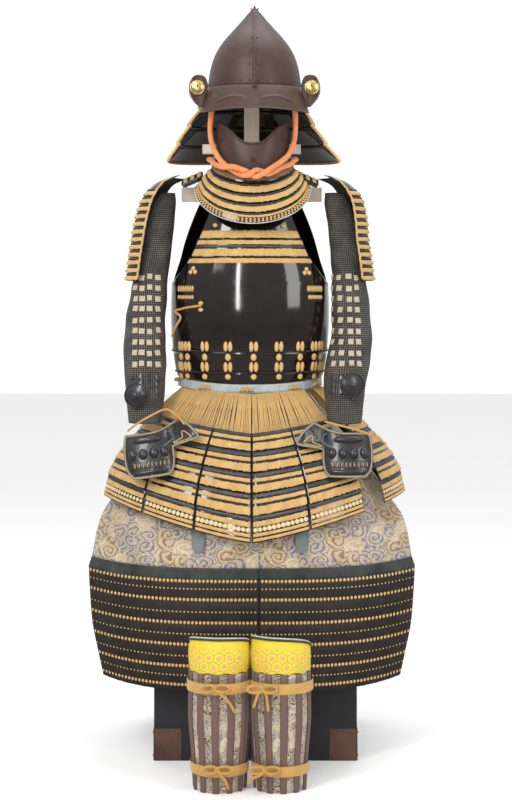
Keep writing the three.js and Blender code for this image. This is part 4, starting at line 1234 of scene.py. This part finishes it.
mailCloth, tree, shader, where = newFinish("mailCloth", 0.5)
mail = useGroup(tree, mailGroup, {"UV": where["UV"], "Pitch": 0.0045})
patch = noise(tree, where["UV"], 26, 3, 0.6)
dust = spread(tree, patch, 0.3, 0.6, 0.35, 1.0)
ringTone = mixed(tree, noise(tree, where["UV"], 400, 2), (0.008, 0.008, 0.009), (0.035, 0.033, 0.034))
clothTone = mixed(tree, patch, (0.13, 0.11, 0.085), (0.32, 0.27, 0.21))
plug(tree, shader["Base Color"], mixed(tree, calc(tree, "MULTIPLY", mail["Cloth"], dust), ringTone, clothTone))
addBump(tree, shader, mail["Height"], 0.001, 0.8)
splintLacquer = lacquerFinish("splintLacquer", (0.011, 0.011, 0.014), (0.03, 0.03, 0.034), 0.2, 0.5, 600, 0.3, 0.1)
squareCloth = silkFinish("squareCloth", (0.60, 0.50, 0.36), (0.34, 0.27, 0.19), 300)


def sleeveSurface(table):
    top, bottom = table[0][0], table[-1][0]

    def place(u, v, out=0.0):
        z = lerp(top, bottom, v)
        x, y, radius = along(table, z)
        # u is 0 and 1 at the back, 0.5 at the front
        angle = (2 * u - 1) * pi
        crease = sleeve["wrinkle"] * sin(pi * v) * (sin(v * 46 + 2.2 * sin(angle + v * 5)) * 0.5 + 0.5 * sin(v * 23 + angle * 2))
        size = radius + out + crease - sleeve["wrinkle"]
        return Vector((x + size * sin(angle), y - size * sleeve["flat"] * cos(angle), z))

    return place


sleeveCloths = []
for table, mark in ((sleeveLeft, "l"), (sleeveRight, "r")):
    place = sleeveSurface(table)
    length = sum(sqrt(sum((b[k] - a[k]) ** 2 for k in (0, 1, 2))) for a, b in zip(table, table[1:]))
    bm = newMesh()
    addGrid(bm, 64, 150, place, (250, length), weld=1e-6)
    sleevePiece = finishPiece("sleeve" + mark.upper(), bm, [mailCloth, darkLining], sleeve["wall"], ["sleeve_" + mark], rimMaterial=1)
    sleeveCloths.append((sleevePiece, place, "shoulder_guard_" + mark))
print("sleeves ready")

# ---- forearm plates and hand guards ----
armDomes = {"l": ((-250, -176, 762), 22), "r": ((203, -178, 784), -18)}
handSections = (  # height, towards the thumb, how far that side rises, towards the outside, forwards
    (684, 70, 22, 44, 4),
    (678, 92, 10, 46, 7),
    (670, 106, -5, 48, 11),
    (661, 82, -2, 49, 16),
    (650, 50, 0, 50, 21),
    (630, 50, 0, 50, 28),
    (610, 47, 0, 46, 34),
    (598, 38, 0, 36, 36),
)
hand = {"l": (-221, 8), "r": (192, 0), "middle": 640, "front": -196, "curl": 26, "thumb": 18, "wall": 2.6}
handLacquer = lacquerFinish("handLacquer", (0.013, 0.012, 0.014), (0.034, 0.032, 0.036), 0.24, 0.4, 600, 0.3, 0.12)
edgeLeather = lacquerFinish("edgeLeather", (0.10, 0.135, 0.145), (0.17, 0.20, 0.20), 0.55, 0.0, 500, 0.3, 0.1)


def handSurface(mark):
    side = 1 if mark == "r" else -1
    middleX, turn = hand[mark]
    turned = Matrix.Translation((middleX, 0, hand["middle"])) @ Matrix.Rotation(radians(-turn), 4, "Y")

    def place(u, v, out=0.0):
        z = lerp(684, 598, v)
        thumb, rise, outside, forwards = along(handSections, z)
        w = (2 * u - 1) * side  # -1 at the thumb, 1 outside
        x = w * (thumb if w < 0 else outside)
        bend = min(1, abs(x) / 50)
        y = hand["front"] - forwards + hand["curl"] * (1 - sqrt(1 - 0.94 * bend**2)) - out
        y -= hand["thumb"] * clamp((-x - 50) / 40, 0, 1)
        return turned @ Vector((side * x, y, z + (rise * w * w if w < 0 else 0) - hand["middle"]))

    return place


for mark in "lr":
    place = handSurface(mark)
    side = 1 if mark == "r" else -1
    across = lambda w: 0.5 + side * w / 2  # from -1 at the thumb to 1 outside
    bm = newMesh()
    addSlab(bm, place, (120, 90), 56, 44, hand["wall"], 0, 3)
    border = [place(0, k / 40, 0.4) for k in range(41)] + [place(k / 16, 1, 0.4) for k in range(1, 17)]
    border += [place(1, 1 - k / 40, 0.4) for k in range(1, 41)] + [place(1 - k / 16, 0, 0.4) for k in range(1, 17)]
    addTube(bm, border, 3.0, 8, 1, ends=False)
    addTube(bm, [p + Vector((0, -2.4, 0)) for p in border], 1.0, 6, 2, ends=False)
    for k in range(4):  # the knuckles
        addDome(bm, basisOn(place, across(lerp(-0.66, 0.68, k / 3)), 0.46, -1.5), 20, 25, 9, 16, 8, 0)
    addDome(bm, basisOn(place, across(0.02), 0.13, -2), 62, 18, 8, 24, 8, 0)  # the back of the hand
    for k in range(9):  # a row of bars below the knuckles, stitched between
        spot = basisOn(place, across(lerp(-0.72, 0.72, k / 8)), 0.72)
        addBlock(bm, spot, (6.6, 15, 3), 1.0, 0)
        addDome(bm, spot @ Matrix.Translation((4.4, 0, 0)), 2.2, 13, 1.6, 6, 3, 2)
    bar = [place(across(lerp(-0.8, 0.8, k / 16)), 0.9, 1.2) for k in range(17)]
    addTube(bm, bar, 4.6, 10, 0, flat=0.7)
    crease = [place(across(-0.52), lerp(0.04, 0.5, k / 10), 0.6) for k in range(11)]
    addTube(bm, crease, 1.9, 6, 1)
    thumb = [place(across(-0.78 + 0.09 * cos(k * pi / 10)), 0.2 + 0.11 * sin(k * pi / 10), 1.2) for k in range(21)]
    addTube(bm, thumb, 1.4, 6, 2, ends=False)  # the tie at the thumb
    finishPiece("handGuard" + mark.upper(), bm, [handLacquer, edgeLeather, ochreSilk, darkLining], standsFor=["hand_guard_" + mark])

    at, turn = armDomes[mark]
    basis = Matrix.Translation(Vector(at)) @ Matrix.Rotation(radians(-turn), 4, "Z") @ Matrix(((1, 0, 0, 0), (0, 0, -1, 0), (0, 1, 0, 0), (0, 0, 0, 1)))

    def domeSurface(u, v, out=0.0, basis=basis):
        radius, angle = v * 27, -2 * pi * u
        return basis @ Vector((radius * cos(angle), radius * sin(angle), 9 * (1 - v * v) + out))

    bm = newMesh()
    addSlab(bm, domeSurface, (170, 27), 40, 10, 2.2, closed=True)
    addTube(bm, [domeSurface(k / 40, 0.97, 0.6) for k in range(41)], 1.6, 6, 0, ends=False)
    for k in range(20):
        addDome(bm, basis @ Matrix.Translation((20.5 * cos(k * pi / 10), 20.5 * sin(k * pi / 10), 3.6)), 2.8, rise=1.4)
    addDome(bm, basis @ Matrix.Translation((0, 0, 8.4)), 14, rise=3.4, segments=16, rings=8)
    finishPiece("armDome" + mark.upper(), bm, [handLacquer], standsFor=["arm_dome_" + mark])
print("hands ready")

# ---- shin guards ----
shinSections = (  # height, half width, depth
    (300, 57, 52),
    (268, 59, 56),
    (233, 58, 58),
    (150, 59, 60),
    (70, 53, 54),
    (0, 49, 50),
)
shin = {"y": -382, "arc": radians(108), "l": (-71, radians(-7)), "r": (50, radians(-25)), "wall": 2.2, "splints": 7}


def shinSurface(mark, top, bottom, lift=0.0):
    x, turn = shin[mark]

    def place(u, v, out=0.0):
        z = lerp(top, bottom, v)
        radius, depth = along(shinSections, z)
        angle = (2 * u - 1) * shin["arc"]
        px, py = (radius + lift + out) * sin(angle), -(depth + lift + out) * cos(angle)
        return Vector((x + px * cos(turn) - py * sin(turn), shin["y"] + px * sin(turn) + py * cos(turn), z))

    return place


# hexagons: outlined cells with a dot in each, for printed leather
hexGroup, given, out = newGroup("hexagons", [("UV", "Vector", None), ("Pitch", "Float", 0.019)], [("Line", "Float"), ("Dot", "Float")])
parts = addNode(hexGroup, "SeparateXYZ", (given["UV"],)).outputs
across = calc(hexGroup, "DIVIDE", parts[0], given["Pitch"])
downward = calc(hexGroup, "DIVIDE", parts[1], calc(hexGroup, "MULTIPLY", given["Pitch"], 1.7320508))


def nearestCell(shiftX, shiftY):
    x = calc(hexGroup, "SUBTRACT", calc(hexGroup, "FRACT", calc(hexGroup, "ADD", across, shiftX)), 0.5)
    y = calc(hexGroup, "SUBTRACT", calc(hexGroup, "FRACT", calc(hexGroup, "ADD", downward, shiftY)), 0.5)
    y = calc(hexGroup, "MULTIPLY", y, 1.7320508)
    length = calc(hexGroup, "SQRT", calc(hexGroup, "ADD", calc(hexGroup, "MULTIPLY", x, x), calc(hexGroup, "MULTIPLY", y, y)))
    # how far out towards a side of the hexagon
    ax = calc(hexGroup, "ABSOLUTE", x)
    slanted = calc(hexGroup, "ADD", calc(hexGroup, "MULTIPLY", ax, 0.5), calc(hexGroup, "MULTIPLY", calc(hexGroup, "ABSOLUTE", y), 0.8660254))
    return length, calc(hexGroup, "MAXIMUM", ax, slanted)


nearA, sideA = nearestCell(0.5, 0.5)
nearB, sideB = nearestCell(0.0, 0.0)
plug(hexGroup, out["Line"], spread(hexGroup, calc(hexGroup, "MINIMUM", sideA, sideB), 0.43, 0.475))
plug(hexGroup, out["Dot"], calc(hexGroup, "MINIMUM", nearA, nearB))

kneeLeather, tree, shader, where = newFinish("kneeLeather", 0.6)
hexes = useGroup(tree, hexGroup, {"UV": where["UV"], "Pitch": 0.0195})
dot = ramp(tree, hexes["Dot"], ((0.0, (0.86, 0.36, 0.16)), (0.17, (0.86, 0.40, 0.18)), (0.22, (0.80, 0.48, 0.06)), (0.36, (0.80, 0.62, 0.05)), (0.42, (0.83, 0.64, 0.06))))
tone = mixed(tree, spread(tree, noise(tree, where["UV"], 60, 3), 0.3, 0.7), (0.9, 0.9, 0.9), (1.0, 1.0, 1.0))
# the pattern fades out towards the top
low = addNode(tree, "SeparateXYZ", (where["UV"],)).outputs[1]
fade = spread(tree, low, -0.012, -0.024)
lined = mixed(tree, calc(tree, "MULTIPLY", calc(tree, "MULTIPLY", hexes["Line"], 0.75), fade), mixed(tree, fade, (0.80, 0.60, 0.03), dot), (0.34, 0.36, 0.05))
plug(tree, shader["Base Color"], mixed(tree, 1.0, lined, tone, "MULTIPLY"))
addBump(tree, shader, calc(tree, "MULTIPLY", spread(tree, hexes["Dot"], 0.25, 0.1), 1.0), 0.0008, 0.6)

splintLeather = lacquerFinish("splintLeather", (0.17, 0.095, 0.068), (0.13, 0.085, 0.085), 0.42, 0.1, 300, 0.35, 0.2)
saddleLeather = lacquerFinish("saddleLeather", (0.085, 0.016, 0.012), (0.14, 0.045, 0.035), 0.32, 0.3, 120, 0.9, 0.25)
shinBrocade = brocadeFinish("shinBrocade", (0.46, 0.36, 0.24), (0.70, 0.62, 0.48), (0.14, 0.18, 0.30), (0.05, 0.045, 0.04), 60.0)
knotSilk = silkFinish("knotSilk", (0.03, 0.03, 0.03), (0.02, 0.02, 0.02), 400)
tapeSilk = silkFinish("tapeSilk", (0.66, 0.38, 0.10), (0.54, 0.28, 0.07), 380)

kneeCloths = []
for mark in "lr":
    bm = newMesh()
    knee = shinSurface(mark, 300, 233.5, 1.0)

    def kneeSurface(u, v, out=0.0, knee=knee):
        # the top edge is an arch, the lower one is wavy
        side = abs(2 * u - 1)
        z = lerp(0.27 * side**2.6, 1.0 + 0.03 * sin(u * 40), v)
        return knee(u, z, out + 3.5 * sin(pi * v) * (1 - side**3))

    addGrid(bm, 60, 24, kneeSurface, (220, 66))
    kneePiece = finishPiece("kneeCover" + mark.upper(), bm, [kneeLeather, darkLining], shin["wall"], ["knee_cover_" + mark], rimMaterial=1)
    kneeCloths.append((kneePiece, kneeSurface, "shin_guard_" + mark))
    bm = newMesh()
    addTube(bm, [kneeSurface(k / 60, 0, 1.6) for k in range(61)], 2.0, 8, 0, ends=True)
    addTube(bm, [kneeSurface(k / 60, 0, -0.4) + Vector((0, 0.8, 3)) for k in range(61)], 1.8, 8, 1)
    finishPiece("kneePiping" + mark.upper(), bm, [bandLeather, pipingFinish])

    place = shinSurface(mark, 233, 0)
    bm = newMesh()
    addSlab(bm, place, (205, 233), 48, 40, shin["wall"], 0, 2)
    for k in range(shin["splints"]):
        middle = (k + 0.5) / shin["splints"]
        half = 0.034
        splintPlace = lambda a, b, out=0.0, middle=middle: place(middle + (a - 0.5) * 2 * half, b, out + 2.6 + 2.2 * sin(pi * clamp(a, 0, 1)))
        addSlab(bm, splintPlace, (15, 226), 6, 24, 2.4, 1)
    finishPiece("shinGuard" + mark.upper(), bm, [shinBrocade, splintLeather, darkLining, saddleLeather], standsFor=["shin_guard_" + mark])
    bm = newMesh()
    for z in (206, 44):
        v = (233 - z) / 233
        tape = lambda a, b, out=0.0, v=v: place(lerp(-0.01, 1.01, a), v + (b - 0.5) * 0.09, out + 6.4)
        addSlab(bm, tape, (205, 14), 60, 4, 1.4)
    finishPiece("shinTape" + mark.upper(), bm, [tapeSilk])
print("shins ready")

# ---- lacing, knots and irons on the cuirass and the chest ----
trims = {
    "columns": (-158, -144, -107, -58, -4, 49, 94, 124, 138),
    "lobes": (863.5, 820),
    "dots": ((841, 16), (799, 13)),
    "knotRadius": 3.2,
}
ironRust = lacquerFinish("ironRust", (0.075, 0.038, 0.026), (0.16, 0.075, 0.045), 0.7, 0.0, 300, 0.6, 0.2)
tieSilk = silkFinish("tieSilk", (0.62, 0.35, 0.08), (0.48, 0.25, 0.05), 300)
darkCord = silkFinish("darkCord", (0.05, 0.035, 0.025), (0.03, 0.02, 0.015), 300)
redBead = newFinish("redBead", 0.3)[0]
redBead.node_tree.nodes["Principled BSDF"].inputs["Base Color"].default_value = (0.45, 0.03, 0.02, 1)


def spotOnTorso(x, z, lift=2.5):
    angle = torsoAngle(x, z)
    return basisOn(lambda a, b: torsoPoint(angle + a, z - b, lift), 0, 0)


bm = newMesh()
for x in trims["columns"]:
    for z in trims["lobes"]:
        for side in (-5, 5):
            addDome(bm, spotOnTorso(x, z) @ Matrix.Translation((side, 0, 0)), 9.6, 23, 3.6, 10, 6, 0)
    for z, tall in trims["dots"]:
        addDome(bm, spotOnTorso(x, z), 13, tall, 3.6, 10, 6, 0)
for x, z in ((-132, 1026), (108, 1024)):
    for dx, dz in ((-6, -3), (6, -3), (0, 5)):
        addDome(bm, spotOnTorso(x, z) @ Matrix.Translation((dx, dz, 0)), 10, 10, 3.5, 10, 6, 0)
for start, end, z, tall in ((-163, -133, 987, 15), (-163, -133, 969, 10), (111, 139, 987, 15), (113, 139, 969, 10)):
    for k in range(7):
        addDome(bm, spotOnTorso(lerp(start, end, k / 6), z), 5.2, tall, 3, 8, 4, 0)
for x, z in ((-84.6, 1123), (58.2, 1122), (-115, 956), (-115, 942)):
    addDome(bm, spotOnTorso(x, z), 11, 9, 6, 10, 6, 0)
for x, z in ((-164, 790), (-105, 776), (-18, 772), (80, 776), (126, 782)):
    for dx, turn in ((-8, 0.5), (8, -0.5), (0, 0)):
        spot = spotOnTorso(x, max(z, 778), 7) @ Matrix.Translation((dx, z - max(z, 778), 0)) @ Matrix.Rotation(turn, 4, "Z")
        addDome(bm, spot, 15 if dx else 9, 7 if dx else 9, 5, 10, 6, 1)
finishPiece("cuirassLacing", bm, [ochreSilk, tieSilk])

bm = newMesh()
for z in (853.3, 808.3):  # a scalloped edge at each seam
    for k in range(90):
        angle = (k / 89 * 2 - 1) * 1.5
        spot = basisOn(lambda a, b, angle=angle, z=z: torsoPoint(angle + a, z - b, 2.4), 0, 0)
        addDome(bm, spot, 6, 5, 2.2, 6, 4, 0)
finishPiece("cuirassSeams", bm, [blackLacquer])

bm = newMesh()
for side in (-1, 1):
    for x, y, turn in ((212 - 29, -190.4, 0), (212.6, -190 + 29, 1)):
        basis = Matrix.Translation((side * x, y, 34)) @ Matrix(((1, 0, 0, 0), (0, 0, -1, 0), (0, 1, 0, 0), (0, 0, 0, 1)))
        if turn:
            basis = Matrix.Translation((side * x, y, 34)) @ Matrix.Rotation(side * pi / 2, 4, "Z") @ Matrix(((1, 0, 0, 0), (0, 0, -1, 0), (0, 1, 0, 0), (0, 0, 0, 1)))
        addBlock(bm, basis, (56, 66, 1.6), 0.6)
        for dx, dz in ((-20, -24), (20, -24), (20, 24), (-20, 24)):
            addDome(bm, basis @ Matrix.Translation((dx, dz, 0.8)), 6, rise=2)
finishPiece("chestIrons", bm, [ironRust])


# ---- small squares and splints on the sleeves ----
def onSleeve(table, x, z):
    middle, _, radius = along(table, z)
    return clamp(asin(clamp((x - middle) / radius, -0.97, 0.97)) / (2 * pi) + 0.5, 0, 1), (1198 - z) / (1198 - 704)


for table, mark, columns in ((sleeveLeft, "L", (-258, -243, -226, -208)), (sleeveRight, "R", (163, 181, 202, 219))):
    place = sleeveSurface(table)
    bm = newMesh()
    for x in columns:
        for row in range(9):
            z = 1012 - row * 23
            u, v = onSleeve(table, x + (z - 920) * -0.02, z + random.uniform(-2, 2))
            addBlock(bm, basisOn(place, u, v, 0.6), (random.uniform(10, 13), 12, 1.6), 0.5, 0)
        u, v = onSleeve(table, x, 786)
        for k in range(3):
            u, v = onSleeve(table, x, 800 - k * 14)
            addBlock(bm, basisOn(place, u, v, 0.8), (8.5, 15, 2.4), 0.9, 1)
    finishPiece("sleevePlates" + mark, bm, [squareCloth, splintLacquer])
print("trims ready")

# ---- cloths ----
def cutOf(place, steps=40):
    # the widest row, the longest column and the area of a cloth laid flat, in metres
    grid = [[Vector(place(i / steps, j / steps)) / 1000 for i in range(steps + 1)] for j in range(steps + 1)]
    wide = max(sum((b - a).length for a, b in zip(row, row[1:])) for row in grid)
    tall = max(sum((b - a).length for a, b in zip(column, column[1:])) for column in zip(*grid))
    area = sum(
        ((grid[j][i + 1] - grid[j][i]).cross(grid[j + 1][i] - grid[j][i])).length for j in range(steps) for i in range(steps)
    )
    return (wide, tall), area


for cloth, side, place in apronCloths:
    flat, area = cutOf(place)
    min(area, flat[0] * flat[1])
for cloth, place, rests in sleeveCloths + kneeCloths:
    flat, area = cutOf(place)
    min(area, flat[0] * flat[1])

# ---- ties with free ends ----
def freeCord(name, points, radius, finish):
    route = cordRoute(points, 3)
    bm = newMesh()
    addTube(bm, route, radius, 10, 0)
    tie = finishPiece(name, bm, [finish])
    path = [tuple(p / 1000) for p in route]
    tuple(path[0])


ties = (  # name, radius and the points it passes
    ("sideTie", 2.6, ((-115, -121, 951), (-138, -107, 948), (-158, -90, 944), (-173, -76, 938), (-161, -92, 926), (-172, -80, 905), (-181, -68, 884))),
    ("wristTieL", 2.2, ((-266, -212, 690), (-246, -226, 706), (-216, -232, 724), (-184, -230, 737), (-160, -234, 722), (-146, -240, 706))),
    ("wristTieR", 2.2, ((142, -232, 712), (166, -236, 706), (198, -236, 698), (226, -232, 689), (250, -226, 678), (272, -214, 664))),
    ("shinTieL", 2.8, ((-80, -449, 209), (-64, -452, 196), (-50, -450, 180), (-39, -446, 161))),
    ("shinTieR", 2.8, ((12, -449, 211), (4, -452, 196), (-4, -451, 172))),
    ("shinTieR2", 2.8, ((18, -449, 206), (22, -452, 190), (25, -450, 165))),
    ("ankleTieL", 2.8, ((-76, -444, 52), (-66, -448, 38), (-58, -447, 28), (-52, -444, 12))),
    ("ankleTieR", 2.8, ((20, -444, 50), (8, -448, 40), (-8, -447, 33), (-14, -445, 24))),
)
for name, radius, points in ties:
    freeCord(name, points, radius, tieSilk)
bm = newMesh()
for x, z, y in ((-79.4, 209, -448), (13, 208, -448), (-74, 50, -443), (17.7, 49, -443)):
    at = Vector((x, y, z))
    addDome(bm, Matrix.Translation(at) @ Matrix.Rotation(pi / 2, 4, "X"), 13, 12, 6, 12, 6, 0)
    for side in (-1, 1):  # the loops of the bow
        loop = [at + Vector((side * (18 - 18 * cos(k * pi / 8)) * 0.8, -3, 7 * sin(k * pi / 8) * side)) for k in range(17)]
        addTube(bm, loop, 3.0, 8, 0, ends=False)
addDome(bm, Matrix.Translation((-162, -236, 714)), 8, 8, 4, 10, 6, 1)
finishPiece("tieBows", bm, [tieSilk, redBead])
print("ties ready")

# ---- chest and stand ----
woodFinish, tree, shader, where = newFinish("paleWood", 0.62)
stretched = addNode(tree, "Mapping", {"Vector": where["Object"], "Scale": (60.0, 60.0, 4.0)}).outputs[0]
streak = noise(tree, stretched, 1.0, 5, 0.6, 0.4)
plug(tree, shader["Base Color"], mixed(tree, spread(tree, streak, 0.3, 0.7), (0.72, 0.61, 0.49), (0.84, 0.74, 0.62)))
addBump(tree, shader, streak, 0.0006, 0.35)

chestFinish, tree, shader, where = newFinish("chestLacquer", 0.42, coat=0.12)
stretched = addNode(tree, "Mapping", {"Vector": where["Object"], "Scale": (3.0, 3.0, 60.0)}).outputs[0]
streak = noise(tree, stretched, 1.0, 5, 0.6, 0.3)
grains = useGroup(tree, grainGroup, {"Vector": where["Object"], "Scale": 260.0})
dusty = calc(tree, "MULTIPLY", grains["Patches"], spread(tree, streak, 0.35, 0.75))
plug(tree, shader["Base Color"], mixed(tree, dusty, (0.016, 0.017, 0.020), (0.034, 0.035, 0.040)))
plug(tree, shader["Roughness"], calc(tree, "ADD", calc(tree, "MULTIPLY", dusty, 0.3), 0.34))
addBump(tree, shader, calc(tree, "ADD", streak, grains["Fine"]), 0.0004, 0.3)

for name, finish, soft in (
    ("chest_body", chestFinish, 2.5),
    ("chest_lid", chestFinish, 2.5),
    ("stand_post", woodFinish, 1.0),
    ("shoulder_bar", woodFinish, 2.5),
):
    part = nodes[name]
    part.data.materials.clear()
    part.data.materials.append(finish)
    rounded = part.modifiers.new("soft edges", "BEVEL")
    rounded.width, rounded.segments, rounded.limit_method = soft / 1000, 2, "ANGLE"
for name in ("tongue_l", "tongue_r"):
    nodes[name].data.materials.clear()
    nodes[name].data.materials.append(edgeLeather)
print("stand and chest ready")
